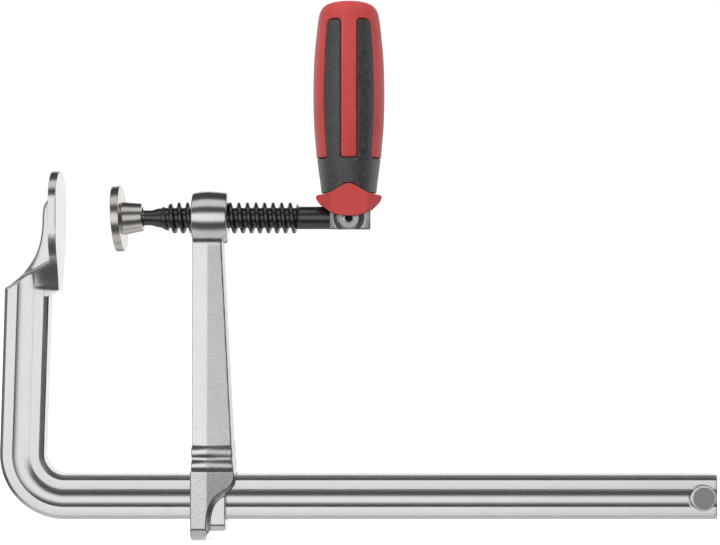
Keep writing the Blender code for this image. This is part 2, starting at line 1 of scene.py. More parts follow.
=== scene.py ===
from contextlib import contextmanager
from math import acos, asin, atan2, cos, degrees, pi, radians, sin, sqrt, tan, tau

import bmesh
import bpy
import numpy as np
from mathutils import Matrix, Vector


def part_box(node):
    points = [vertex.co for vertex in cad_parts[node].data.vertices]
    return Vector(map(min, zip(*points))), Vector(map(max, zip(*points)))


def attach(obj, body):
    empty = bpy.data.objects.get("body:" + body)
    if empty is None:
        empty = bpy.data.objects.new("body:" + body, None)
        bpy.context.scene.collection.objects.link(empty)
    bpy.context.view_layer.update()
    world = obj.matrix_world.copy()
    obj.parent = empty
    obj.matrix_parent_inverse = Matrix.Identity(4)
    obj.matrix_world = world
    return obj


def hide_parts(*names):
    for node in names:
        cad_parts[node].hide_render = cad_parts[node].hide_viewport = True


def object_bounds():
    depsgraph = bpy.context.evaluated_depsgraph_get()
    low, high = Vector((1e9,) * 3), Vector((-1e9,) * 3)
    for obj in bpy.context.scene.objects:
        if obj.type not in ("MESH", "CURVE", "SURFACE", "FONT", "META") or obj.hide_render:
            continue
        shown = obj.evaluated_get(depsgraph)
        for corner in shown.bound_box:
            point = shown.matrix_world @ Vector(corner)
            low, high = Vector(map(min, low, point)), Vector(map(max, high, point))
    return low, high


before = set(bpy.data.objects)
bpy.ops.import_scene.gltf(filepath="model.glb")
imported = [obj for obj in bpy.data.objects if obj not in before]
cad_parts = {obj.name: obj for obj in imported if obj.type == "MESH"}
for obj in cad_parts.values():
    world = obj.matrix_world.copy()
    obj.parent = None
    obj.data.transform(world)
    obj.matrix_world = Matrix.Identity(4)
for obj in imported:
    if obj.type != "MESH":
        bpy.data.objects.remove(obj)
cad_box = [list(corner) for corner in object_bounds()]

# Places read from the frame

rail_low, rail_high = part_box("rail_and_fixed_jaw")
arm_low, arm_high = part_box("sliding_arm")
spindle_low, spindle_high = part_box("spindle")
stop_low, stop_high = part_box("rail_stop_pin")
pin_low, pin_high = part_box("handle_pivot_pin")
ring_low, ring_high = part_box("plate_retaining_ring")
grip_low, grip_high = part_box("handle_soft_grip")
_, collar_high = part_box("handle_collar")
_, tongue_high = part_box("handle_tongue")

# Rail and fixed jaw, metres. Heights are from the spindle's axis, as in the CAD part.
RAIL_END_X = rail_high.x
RAIL_BOTTOM_Z = rail_low.z
RAIL_HEIGHT = 0.0207
RAIL_HALF_WIDTH = 0.0055
RAIL_CENTRE_Z = RAIL_BOTTOM_Z + RAIL_HEIGHT / 2
RAIL_TOP_Z = RAIL_BOTTOM_Z + RAIL_HEIGHT
RAIL_EDGE = (0.0024, 0.0017)
RAIL_EDGE_DEPTH = 0.0010
GROOVE_WIDTH = 0.0083
GROOVE_SHIFT = -0.0003
GROOVE_DEPTH = 0.00095
BEND_RADIUS = 0.0201
BEND_X = 0.0027
BEND_Z = RAIL_CENTRE_Z + BEND_RADIUS
ARM_LEAN = radians(1.78)
PAD_RADIUS = 0.0142
PAD_CENTRE_Z = 0.0078
PAD_THICKNESS = 0.0037
PAD_FOOT_Z = -0.0338
RIB_WIDTH = 0.0046

STOP = (stop_low + stop_high) / 2
STOP_HEAD_RADIUS = (stop_high.x - stop_low.x) / 2
STOP_TOP_Y = stop_high.y
STOP_FACE = STOP_HEAD_RADIUS - 0.0011

# Sliding arm.
EYE_X = (arm_low.x + 0.0004, 0.0785)
EYE_RADIUS = arm_high.z
RIDGE_X = 0.0692
HEAD_HALF_DEPTH = 0.0110
WEB_HALF_DEPTH = 0.0086
HEAD_BOTTOM_Z = arm_low.z

# Spindle.
PITCH = 0.0040
CREST_RADIUS = 0.00725
ROOT_RADIUS = 0.00475
CREST_HALF_WIDTH = 0.00055
ROOT_HALF_WIDTH = 0.00065
THREAD_PHASE_X = 0.0514
THREAD_END_X = 0.1120
BALL_RADIUS = 0.0048
BALL_X = spindle_low.x + BALL_RADIUS
NECK_RADIUS = 0.00355
GROOVE_RADIUS = 0.00275
SHANK_RADIUS = 0.0053
FORK_X = (0.1260, spindle_high.x)
FORK_HALF_HEIGHT = 0.00535
FORK_HALF_WIDTH = 0.0060
FORK_FLOOR_X = 0.1295
FORK_SLOT_HALF = 0.0027

PIVOT_X = (pin_low.x + pin_high.x) / 2
PIN_RADIUS = (pin_high.z - pin_low.z) / 2

# Pressure plate: sizes along its own axis from the ball's centre.
PLATE_TILT = radians(3.6)
PLATE_RADIUS = 0.0155
PLATE_FACE = -0.0074
PLATE_SHOULDER = -0.0034
PLATE_MOUTH = 0.0059
BOSS_RADII = (0.0078, 0.0065)
SOCKET_RADIUS = 0.0051
MOUTH_RADIUS = 0.00455
RING_X = (ring_low.x + ring_high.x) / 2
RING_OUTER = (ring_high.z - ring_low.z) / 2
RING_WIRE = (ring_high.x - ring_low.x) / 2

# Handle: heights above the pivot.
COLLAR_HALF_DEPTH = collar_high.y
COLLAR_SIDE_DEPTH = 0.0074
COLLAR_SEAT_DEPTH = 0.0126
COLLAR_TOP = 0.0111
COLLAR_WING = 0.0154
COLLAR_FACET = 0.0085
FORK_SWEEP_RADIUS = 0.0119
GRIP_FOOT = grip_low.z
GRIP_TOP = grip_high.z
FINGER_FOOT = 0.0275
FINGER_HALF_WIDTH = 0.00375
PANEL_HALF_ANGLE = radians(45.4)
GRIP_DEPTH = 0.0022
TANG_HALF = 0.0040
TANG_TOP = tongue_high.z
TONGUE_HALF_WIDTH = tongue_high.y
TONGUE_EYE_RADIUS = 0.0052
# The handle's barrel, as (height, radius).
BARREL = (
    (0.0114, 0.0130), (0.0160, 0.0135), (0.0210, 0.0142), (0.0280, 0.0151), (0.0360, 0.0158),
    (0.0430, 0.0164), (0.0580, 0.0168), (0.0750, 0.0163), (0.0840, 0.0154), (0.0930, 0.0144),
    (0.0970, 0.0134), (0.0995, 0.0112), (0.1009, 0.0070), (0.1013, 0.0),
)


def shifted(x=0.0, y=0.0, z=0.0):
    return Matrix.Translation((x, y, z))


# Local axes of an outline or a turned profile.
FLAT_XY = Matrix.Identity(4)
FLAT_XZ = Matrix(((1, 0, 0), (0, 0, -1), (0, 1, 0))).to_4x4()
FLAT_YZ = Matrix(((0, 0, 1), (1, 0, 0), (0, 1, 0))).to_4x4()
TURN_TO_X = Matrix.Rotation(radians(90), 4, "Y")
TURN_TO_Y = Matrix.Rotation(radians(-90), 4, "X")
AT_PIVOT = shifted(x=PIVOT_X)

scene = bpy.context.scene


# Mesh helpers

def linked(name, data):
    obj = bpy.data.objects.new(name, data)
    scene.collection.objects.link(obj)
    return obj


def mesh_object(name, verts, faces, matrix=FLAT_XY):
    mesh = bpy.data.meshes.new(name)
    mesh.from_pydata([tuple(v) for v in verts], [], faces)
    mesh.transform(matrix)
    return linked(name, mesh)


@contextmanager
def editing(*objects):
    """A bmesh with the objects' faces, written to the first of them at the end."""
    bm = bmesh.new()
    for obj in objects:
        bm.from_mesh(obj.data)
    yield bm
    bm.to_mesh(objects[0].data)
    bm.free()


def weld(obj, distance=1e-6, dissolve=False):
    """Merge doubled points, drop degenerate faces if asked, and turn every face outward."""
    with editing(obj) as bm:
        bmesh.ops.remove_doubles(bm, verts=bm.verts, dist=distance)
        if dissolve:
            bmesh.ops.dissolve_degenerate(bm, edges=bm.edges, dist=distance)
        bmesh.ops.recalc_face_normals(bm, faces=bm.faces)
    return obj


def clamped(value):
    return min(max(value, 0.0), 1.0)


def quads(spans, rows, size):
    """Quads between neighbouring rows of points, each row closed on itself."""
    faces = []
    for row in range(spans):
        low, high = row * size, (row + 1) % rows * size
        for j in range(size):
            k = (j + 1) % size
            faces.append((low + j, low + k, high + k, high + j))
    return faces


def skin(name, rings, matrix=FLAT_XY):
    """Skin closed rings of equal point count and cap both ends."""
    rings = np.asarray(rings, float)
    count, size = rings.shape[:2]
    faces = quads(count - 1, count, size)
    faces += [tuple(range(size)), tuple(range((count - 1) * size, count * size))]
    return weld(mesh_object(name, rings.reshape(-1, 3), faces, matrix))


def spread(points, count):
    """Points at equal steps along an open line."""
    line = np.asarray(points, float)
    lengths = np.concatenate(([0.0], np.cumsum(np.linalg.norm(np.diff(line, axis=0), axis=1))))
    places = np.linspace(0.0, lengths[-1], count)
    return [(np.interp(p, lengths, line[:, 0]), np.interp(p, lengths, line[:, 1])) for p in places]


def fin(name, back, front, half, nose, fillet, steps=7):
    """A web between two lines in the XZ plane: a rounded back edge, a fillet at the front."""
    rings = []
    turns = [pi / 2 * i / steps for i in range(steps + 1)]
    for outer, inner in zip(back, front):
        line = Vector(outer) - Vector(inner)
        length = line.length
        line.normalize()
        foot = min(fillet, 0.35 * length)
        reach = min(nose, length - foot)
        side = [(foot * (1 - cos(t)), half + foot * (1 - sin(t))) for t in turns]
        side += [(length - reach * (1 - sin(t)), half * cos(t)) for t in turns]
        side += [(run, -y) for run, y in reversed(side[:-1])]
        rings.append([(inner[0] + line.x * run, -y, inner[1] + line.y * run) for run, y in side])
    return skin(name, rings)


def turned(name, profile, matrix, steps=96, ring=False):
    """Turn (radius, height) points about local Z. A ring profile is closed on itself."""
    angles = [tau * i / steps for i in range(steps)]
    verts = [(r * cos(a), r * sin(a), h) for r, h in profile for a in angles]
    rows = len(profile)
    faces = quads(rows if ring else rows - 1, rows, steps)
    return weld(mesh_object(name, verts, faces, matrix), 1e-7, dissolve=True)


def cylinder(name, radius, half, steps=64):
    """A plain cylinder across the object, on the handle's pivot."""
    profile = [(0.0, -half), (radius, -half), (radius, half), (0.0, half)]
    return turned(name, profile, AT_PIVOT @ TURN_TO_Y, steps)


def round_corners(points, radius, steps=3, closed=True):
    """Replace each corner of an outline by a small arc; radius is one number or one a corner."""
    count = len(points)
    radii = radius if hasattr(radius, "__len__") else [radius] * count
    result = []
    for i, (point, size) in enumerate(zip(points, radii)):
        if size <= 0 or (not closed and i in (0, count - 1)):
            result.append(tuple(point))
            continue
        here = Vector(point)
        before = Vector(points[i - 1]) - here
        after = Vector(points[(i + 1) % count]) - here
        half = before.angle(after) / 2
        reach = min(size / tan(half), 0.45 * before.length, 0.45 * after.length)
        start = here + before.normalized() * reach
        end = here + after.normalized() * reach
        for step in range(steps + 1):
            t = step / steps
            result.append(tuple((1 - t) ** 2 * start + 2 * t * (1 - t) * here + t * t * end))
    return result


def arc(centre, radius, start, end, steps):
    """Points of an arc, angles in degrees from the outline's first axis."""
    angles = [radians(start + (end - start) * i / steps) for i in range(steps + 1)]
    return [(centre[0] + radius * cos(a), centre[1] + radius * sin(a)) for a in angles]


def soften(points, rounds=2):
    """Cut the corners of an open line, keeping its ends: a smooth curve near the points."""
    for _ in range(rounds):
        line = [points[0]]
        for (x0, y0), (x1, y1) in zip(points, points[1:]):
            line += [(a * x0 + b * x1, a * y0 + b * y1) for a, b in ((0.75, 0.25), (0.25, 0.75))]
        points = line + [points[-1]]
    return points


def value_at(place, points):
    """The value at a place along (place, value) points."""
    places, values = zip(*points)
    return float(np.interp(place, places, values))


def modify(obj, kind, **settings):
    """Give the object one modifier and apply it."""
    modifier = obj.modifiers.new(kind, kind)
    for key, value in settings.items():
        setattr(modifier, key, value)
    bpy.context.view_layer.update()
    evaluated = obj.evaluated_get(bpy.context.evaluated_depsgraph_get())
    mesh = bpy.data.meshes.new_from_object(evaluated)
    old = obj.data
    obj.modifiers.clear()
    obj.data = mesh
    bpy.data.meshes.remove(old)
    return obj


def prism(name, outline, half, matrix, bevel=0.0, segments=3):
    """An outline extruded to both sides of its plane, with rounded rims."""
    count = len(outline)
    verts = [(u, v, -half) for u, v in outline] + [(u, v, half) for u, v in outline]
    faces = [tuple(range(count)), tuple(range(count, 2 * count))]
    faces += [(i, (i + 1) % count, (i + 1) % count + count, i + count) for i in range(count)]
    obj = weld(mesh_object(name, verts, faces, matrix))
    if bevel:
        modify(obj, "BEVEL", width=bevel, segments=segments, limit_method="ANGLE",
               angle_limit=radians(50), use_clamp_overlap=False)
    return obj


def rectangle(low, high):
    return [(low[0], low[1]), (high[0], low[1]), (high[0], high[1]), (low[0], high[1])]


def cube(name, low, high):
    lift = shifted(z=(low[2] + high[2]) / 2)
    return prism(name, rectangle(low, high), (high[2] - low[2]) / 2, lift)


def combine(target, tool, operation):
    """Apply a Boolean and remove the tool."""
    modify(target, "BOOLEAN", operation=operation, solver="EXACT", object=tool)
    bpy.data.objects.remove(tool, do_unlink=True)
    return target


def cut(target, tool):
    return combine(target, tool, "DIFFERENCE")


def join(target, *others):
    """Put the others' faces into the target's mesh."""
    with editing(target, *others):
        pass
    for obj in others:
        bpy.data.objects.remove(obj, do_unlink=True)
    return target


def forge(obj, voxel, smoothing):
    """Fuse a mesh's overlapping shells into one skin, then soften its edges."""
    modify(obj, "REMESH", mode="VOXEL", voxel_size=voxel, use_smooth_shade=True)
    return modify(obj, "SMOOTH", factor=0.5, iterations=smoothing)


def shade(obj, crease=0):
    """Shade smooth, with sharp edges where faces turn by more than the crease, in degrees."""
    obj.data.shade_smooth()
    if crease:
        obj.data.set_sharp_from_angle(angle=radians(crease))
    return obj


# Material helpers

class Graph:
    """A material's or the world's node tree, with the few kinds of node used here."""

    def __init__(self, owner):
        owner.use_nodes = True
        self.owner = owner
        self.tree = owner.node_tree

    def set(self, made, inputs):
        """Link a node's inputs to sockets, or set them to constants."""
        for key, value in inputs.items():
            if isinstance(value, bpy.types.NodeSocket):
                self.tree.links.new(value, made.inputs[key])
            else:
                made.inputs[key].default_value = value

    def node(self, kind, inputs=None, **settings):
        made = self.tree.nodes.new("ShaderNode" + kind)
        for key, value in settings.items():
            setattr(made, key, value)
        self.set(made, inputs or {})
        return made

    def local_point(self):
        return self.node("TexCoord").outputs["Object"]

    def stretched(self, vector, scale):
        return self.node("Mapping", {"Vector": vector, "Scale": scale}).outputs[0]

    def split(self, vector):
        return self.node("SeparateXYZ", {0: vector}).outputs

    def combined(self, *values):
        return self.node("CombineXYZ", dict(enumerate(values))).outputs[0]

    def noise(self, vector, scale, detail=3.0, roughness=0.5):
        inputs = {"Vector": vector, "Scale": scale, "Detail": detail, "Roughness": roughness}
        return self.node("TexNoise", inputs).outputs[0]

    def ramp(self, value, low, high, start=0.0, end=1.0):
        """Map a value's range onto two numbers."""
        inputs = {"Value": value, "From Min": start, "From Max": end, "To Min": low, "To Max": high}
        return self.node("MapRange", inputs).outputs[0]

    def toned(self, noise, low=0.0, high=1.0):
        """Map the middle of a noise's range onto two numbers."""
        return self.ramp(noise, low, high, 0.3, 0.7)

    def math(self, operation, first, second=None):
        inputs = {0: first} if second is None else {0: first, 1: second}
        return self.node("Math", inputs, operation=operation).outputs[0]

    def product(self, first, second):
        return self.math("MULTIPLY", first, second)

    def total(self, first, second):
        return self.math("ADD", first, second)

    def vector(self, operation, inputs, output=0):
        return self.node("VectorMath", inputs, operation=operation).outputs[output]

    def mix(self, factor, first, second, **settings):
        """Blend two colours."""
        pair = {6: first, 7: second}
        colours = {k: c if isinstance(c, bpy.types.NodeSocket) else (*c, 1.0) for k, c in pair.items()}
        made = self.node("Mix", {"Factor": factor, **colours}, data_type="RGBA", **settings)
        return made.outputs[2]

    def bump(self, height, distance, strength):
        inputs = {"Height": height, "Distance": distance, "Strength": strength}
        return self.node("Bump", inputs).outputs[0]

    def edge_wear_and_highlight(self, colour, edge, spread=0.08):
        """Blend a second colour in along outer edges, from the surface's own curvature: a painted highlight
        on the rims, on black oxide also rubbed wear.
        """
        point = self.node("NewGeometry").outputs["Pointiness"]
        return self.mix(self.ramp(point, 0.0, 1.0, 0.5 + spread * 0.2, 0.5 + spread), colour, edge)

    def greys(self, factor, stops):
        """A colour ramp of grey values at positions given in degrees from -180 to 180."""
        made = self.node("ValToRGB", {0: factor})
        elements = made.color_ramp.elements
        while len(elements) < len(stops):
            elements.new(0.5)
        for element, (angle, value) in zip(elements, stops):
            element.position = (angle + 180.0) / 360.0
            element.color = (value, value, value, 1.0)
        return made.outputs[0]

    def finish(self, colour, rough, normal=None, **constants):
        """Fill in the material's own shader; underscores in a name stand for spaces."""
        inputs = {name.replace("_", " "): value for name, value in constants.items()}
        inputs.update({"Base Color": colour, "Roughness": rough})
        if normal is not None:
            inputs["Normal"] = normal
        self.set(self.tree.nodes["Principled BSDF"], inputs)
        return self.owner


def new_material(name):
    return Graph(bpy.data.materials.new(name))


# Materials

def rail_steel():
    """Bright plated steel, drawn: the grain runs along the rail and round its bend."""
    g = new_material("rail_bright_steel")
    point = g.local_point()
    x, y, z = g.split(point)
    left = g.math("MAXIMUM", g.math("SUBTRACT", BEND_X, x), 0.0)
    below = g.math("MAXIMUM", g.math("SUBTRACT", BEND_Z, z), 0.0)
    across = g.vector("LENGTH", {0: g.combined(left, below)}, "Value")
    grain_space = g.combined(g.math("SUBTRACT", x, z), across, y)
    grain = g.noise(g.stretched(grain_space, (1.0, 14.0, 14.0)), 170.0, 5.0, 0.65)
    fine = g.noise(g.stretched(grain_space, (1.0, 9.0, 9.0)), 620.0, 3.0, 0.6)
    cloud = g.noise(point, 55.0)
    tone = g.total(g.toned(grain, -0.08, 0.08), g.toned(cloud, 0.44, 0.56))
    colour = g.mix(tone, (0.67, 0.67, 0.675), (0.83, 0.83, 0.835))
    height = g.total(grain, g.product(fine, 0.5))
    # Lighter edges: a painted highlight.
    return g.finish(g.edge_wear_and_highlight(colour, (0.86, 0.86, 0.865)), g.toned(grain, 0.18, 0.27),
                    g.bump(height, 0.000028, 0.6), Metallic=1.0)


def forged_steel():
    """Bright plated forging: smooth left of the parting ridge, coarse right of it and on the cheeks; the
    head's outer cheek faces take darker copies of both finishes, a painted shade.
    """
    g = new_material("arm_forged_steel")
    point = g.local_point()
    x, y, z = g.split(point)
    right = g.ramp(x, 0.0, 1.0, RIDGE_X - 0.0003, RIDGE_X + 0.0004)
    below_eye = g.ramp(z, 1.0, 0.0, -0.0135, -0.0115)
    depth_in = g.ramp(g.math("ABSOLUTE", y), 1.0, 0.0, WEB_HALF_DEPTH + 0.0002, WEB_HALF_DEPTH + 0.0006)
    head = g.ramp(z, 1.0, 0.0, -0.1190, -0.1170)
    not_web = g.math("SUBTRACT", 1.0, g.product(depth_in, head))
    coarse = g.product(g.product(right, below_eye), not_web)
    outer = g.product(head, g.math("SUBTRACT", 1.0, depth_in))
    grain = g.noise(point, 1500.0, 4.0, 0.6)
    pits = g.noise(point, 2600.0, 2.0, 0.5)
    cloud = g.noise(point, 160.0)
    rough_height = g.total(grain, pits)
    speckle = g.ramp(rough_height, 0.0, 1.0, 0.78, 1.22)
    bright = g.mix(g.toned(cloud, 0.3, 0.7), (0.70, 0.70, 0.71), (0.80, 0.80, 0.805))
    dull = g.mix(speckle, (0.48, 0.48, 0.485), (0.70, 0.70, 0.705))
    # The head's outer cheek faces get these darker copies of the bright and dull finishes: a painted shade.
    light = g.mix(speckle, (0.54, 0.54, 0.545), (0.76, 0.76, 0.765))
    shaded_dull = g.mix(speckle, (0.27, 0.27, 0.275), (0.46, 0.46, 0.465))
    colour = g.mix(outer, g.mix(coarse, bright, dull), g.mix(coarse, light, shaded_dull))
    depth = g.math("MAXIMUM", g.ramp(coarse, 0.15, 1.0), g.product(outer, 0.7))
    # Lighter edges: a painted highlight.
    return g.finish(g.edge_wear_and_highlight(colour, (0.86, 0.86, 0.865), 0.10),
                    g.total(g.toned(grain, 0.17, 0.24), g.product(coarse, 0.06)),
                    g.bump(g.product(rough_height, depth), 0.00006, 0.6), Metallic=1.0)


def black_steel(name, base, wear_and_sheen, rubbed=None):
    """Black oxide with a satin, lightly mottled surface; lighter edges are a painted highlight with rubbed
    wear, and the fork's sides rub brighter.
    """
    g = new_material(name)
    point = g.local_point()
    mottle = g.noise(point, 420.0, 4.0, 0.6)
    fine = g.noise(point, 2400.0, 2.0, 0.5)
    colour = g.mix(g.toned(mottle), tuple(0.88 * c for c in base), tuple(1.15 * c for c in base))
    if rubbed:
        x, y, _ = g.split(point)
        side = g.ramp(g.math("ABSOLUTE", y), 0.0, 1.0, FORK_HALF_WIDTH - 0.0009, FORK_HALF_WIDTH - 0.0005)
        past = g.ramp(x, 0.0, 1.0, FORK_X[0] - 0.0001, FORK_X[0] + 0.0001)
        colour = g.mix(g.product(side, past), colour, rubbed)
    # Lighter edges: a painted highlight, with rubbed wear of the oxide.
    return g.finish(g.edge_wear_and_highlight(colour, wear_and_sheen, 0.12), g.toned(mottle, 0.24, 0.32),
                    g.bump(g.total(mottle, fine), 0.00001, 0.2), Metallic=0.9)


def turned_metal(name, low, high, centre, axis, rough=(0.14, 0.24), inner=None):
    """Lathe-turned metal with fine rings round an axis; inner is (radius, colour) of its middle."""
    g = new_material(name)
    point = g.local_point()
    offset = g.vector("SUBTRACT", {0: point, 1: centre})
    height = g.vector("DOT_PRODUCT", {0: offset, 1: axis}, "Value")
    radial = g.vector("SUBTRACT", {0: offset, 1: g.vector("SCALE", {0: axis, "Scale": height})})
    radius = g.vector("LENGTH", {0: radial}, "Value")
    rings = g.noise(g.combined(radius, height), 5200.0, 2.0, 0.6)
    colour = g.mix(g.toned(g.noise(point, 260.0)), low, high)
    if inner:
        inside = g.ramp(radius, 1.0, 0.0, inner[0] - 0.0001, inner[0] + 0.0001)
        colour = g.mix(inside, colour, inner[1])
    return g.finish(colour, g.toned(rings, *rough), g.bump(rings, 0.00002, 0.35), Metallic=1.0)


def red_plastic():
    """Satin moulded plastic: fine spark texture and a slight tone change; lighter rims along outer edges are
    a painted highlight.
    """
    g = new_material("satin_red_plastic")
    point = g.local_point()
    speck = g.noise(point, 3200.0, 2.0, 0.5)
    cloud = g.toned(g.noise(point, 90.0))
    colour = g.mix(cloud, (0.55, 0.053, 0.049), (0.63, 0.068, 0.063))
    # Lighter rims: a painted highlight.
    return g.finish(g.edge_wear_and_highlight(colour, (0.72, 0.17, 0.16), 0.10), g.toned(speck, 0.40, 0.52),
                    g.bump(speck, 0.00003, 0.35), Specular_IOR_Level=0.5)


def soft_black():
    """Soft black moulding with a coarse speckle of small pits."""
    g = new_material("soft_black_moulding")
    point = g.local_point()
    speck = g.noise(point, 1250.0, 3.0, 0.6)
    cells = g.node("TexVoronoi", {"Vector": point, "Scale": 2300.0}).outputs["Distance"]
    cloud = g.noise(point, 120.0)
    tone = g.total(g.ramp(speck, -0.4, 0.6, 0.44, 0.60), g.toned(cloud, 0.3, 0.5))
    colour = g.mix(tone, (0.001, 0.0012, 0.0014), (0.050, 0.051, 0.052))
    return g.finish(colour, g.toned(speck, 0.38, 0.54), g.bump(g.total(speck, cells), 0.00010, 0.9),
                    Specular_IOR_Level=0.9, IOR=1.75)


# Rail and fixed jaw

RAIL_END_ROUND = 0.0005
JAW_FLARE_Z = -0.0366
JAW_FLARE_RUN = 0.0185
JAW_FLARE_RISE = 0.0045
PAD_TAPER = soften([
    (PAD_RADIUS, PAD_CENTRE_Z), (PAD_RADIUS, -0.0050), (0.0139, -0.0095), (0.0122, -0.0160),
    (0.0096, -0.0208), (0.0080, -0.0252), (0.0067, -0.0295), (0.0057, PAD_FOOT_Z),
], 2)
RIB_BACK = soften([
    (-0.0040, 0.0108), (-0.0064, 0.0084), (-0.0082, 0.0062), (-0.0089, 0.0028), (-0.0090, -0.0020),
    (-0.0092, -0.0060), (-0.0104, -0.0132), (-0.0132, -0.0200), (-0.0178, -0.0262), (-0.0214, -0.0294),
    (-0.0243, -0.0322),
], 2)
SLOPE_FOOT = (-0.0400, -0.0409)
SLOPE_TOP = (0.0100, -0.0130)


def slope_height(x):
    """Height of the slope that ends the rolled section behind the pad."""
    return value_at(x, (SLOPE_FOOT, SLOPE_TOP))


def rib_fillet():
    """Concave fillets that run up the slope on both sides of the rib."""
    rings = []
    for x in np.linspace(-0.0236, 0.0006 - PAD_THICKNESS, 20):
        ground = slope_height(x)
        rise = value_at(x, RIB_BACK[::-1]) - ground
        size = min(max(0.75 * rise, 0.0002), 0.0021)
        reach = RIB_WIDTH / 2 - 0.0001 + size
        turns = np.linspace(0.0, pi / 2, 7)
        side = [(reach - size * sin(t), ground + size - size * cos(t)) for t in turns]
        ring = [(x, reach, ground - 0.0008)] + [(x, y, z) for y, z in side]
        rings.append(ring + [(x, -y, z) for x, y, z in reversed(ring)])
    return skin("rib_fillet", rings)


def rail_section():
    """Rolled section: u across the height, v across the width, with softened arrises."""
    half_height = RAIL_HEIGHT / 2
    inner, outer = RAIL_EDGE
    half_groove = GROOVE_WIDTH / 2
    arc_radius = (half_groove ** 2 + GROOVE_DEPTH ** 2) / (2 * GROOVE_DEPTH)
    half_angle = degrees(asin(half_groove / arc_radius))
    groove_centre = (GROOVE_SHIFT, RAIL_HALF_WIDTH - GROOVE_DEPTH + arc_radius)
    side = [(half_height, RAIL_HALF_WIDTH - RAIL_EDGE_DEPTH), (half_height - inner, RAIL_HALF_WIDTH)]
    groove = arc(groove_centre, arc_radius, -90 + half_angle, -90 - half_angle, 20)
    side += groove
    side += [(outer - half_height, RAIL_HALF_WIDTH), (-half_height, RAIL_HALF_WIDTH - RAIL_EDGE_DEPTH)]
    radii = [0.00035, 0.00025, 0.0003] + [0.0] * (len(groove) - 2) + [0.0003, 0.00025, 0.00035]
    outline = side + [(u, -v) for u, v in reversed(side)]
    return round_corners(outline, radii + radii[::-1], 3)


def rail_stations():
    """Points, inward directions and end rounding along the centreline, from the free end."""
    lean = degrees(ARM_LEAN)
    stations = []
    for i in range(6):
        turn = pi / 2 * i / 5
        x = RAIL_END_X - RAIL_END_ROUND * (1 - cos(turn))
        stations.append(((x, RAIL_CENTRE_Z), (0.0, 1.0), RAIL_END_ROUND * (1 - sin(turn))))
    for x in np.linspace(RAIL_END_X - 0.0020, BEND_X, 12):
        stations.append(((x, RAIL_CENTRE_Z), (0.0, 1.0), 0.0))
    for angle in np.linspace(270, 180 - lean, 41)[1:]:
        inward = (-cos(radians(angle)), -sin(radians(angle)))
        point = (BEND_X - BEND_RADIUS * inward[0], BEND_Z - BEND_RADIUS * inward[1])
        stations.append((point, inward, 0.0))
    (x, z), inward, _ = stations[-1]
    heights = list(np.linspace(z, JAW_FLARE_Z - 0.0050, 6))[1:]
    heights += list(np.linspace(JAW_FLARE_Z - 0.0050, -0.0100, 52))[1:]
    for level in heights:
        stations.append(((x + (level - z) * tan(ARM_LEAN), level), inward, 0.0))
    return stations


def sliced(obj, axis, places):
    """Cut every face of a mesh along planes across one axis."""
    normal = Vector([float(i == axis) for i in range(3)])
    with editing(obj) as bm:
        for place in places:
            everything = bm.verts[:] + bm.edges[:] + bm.faces[:]
            bmesh.ops.bisect_plane(bm, geom=everything, dist=1e-7, plane_co=normal * place, plane_no=normal)


def pad_half_width(z):
    """Half width of the jaw pad's taper at a height."""
    return value_at(z, [(level, half) for half, level in reversed(PAD_TAPER)])


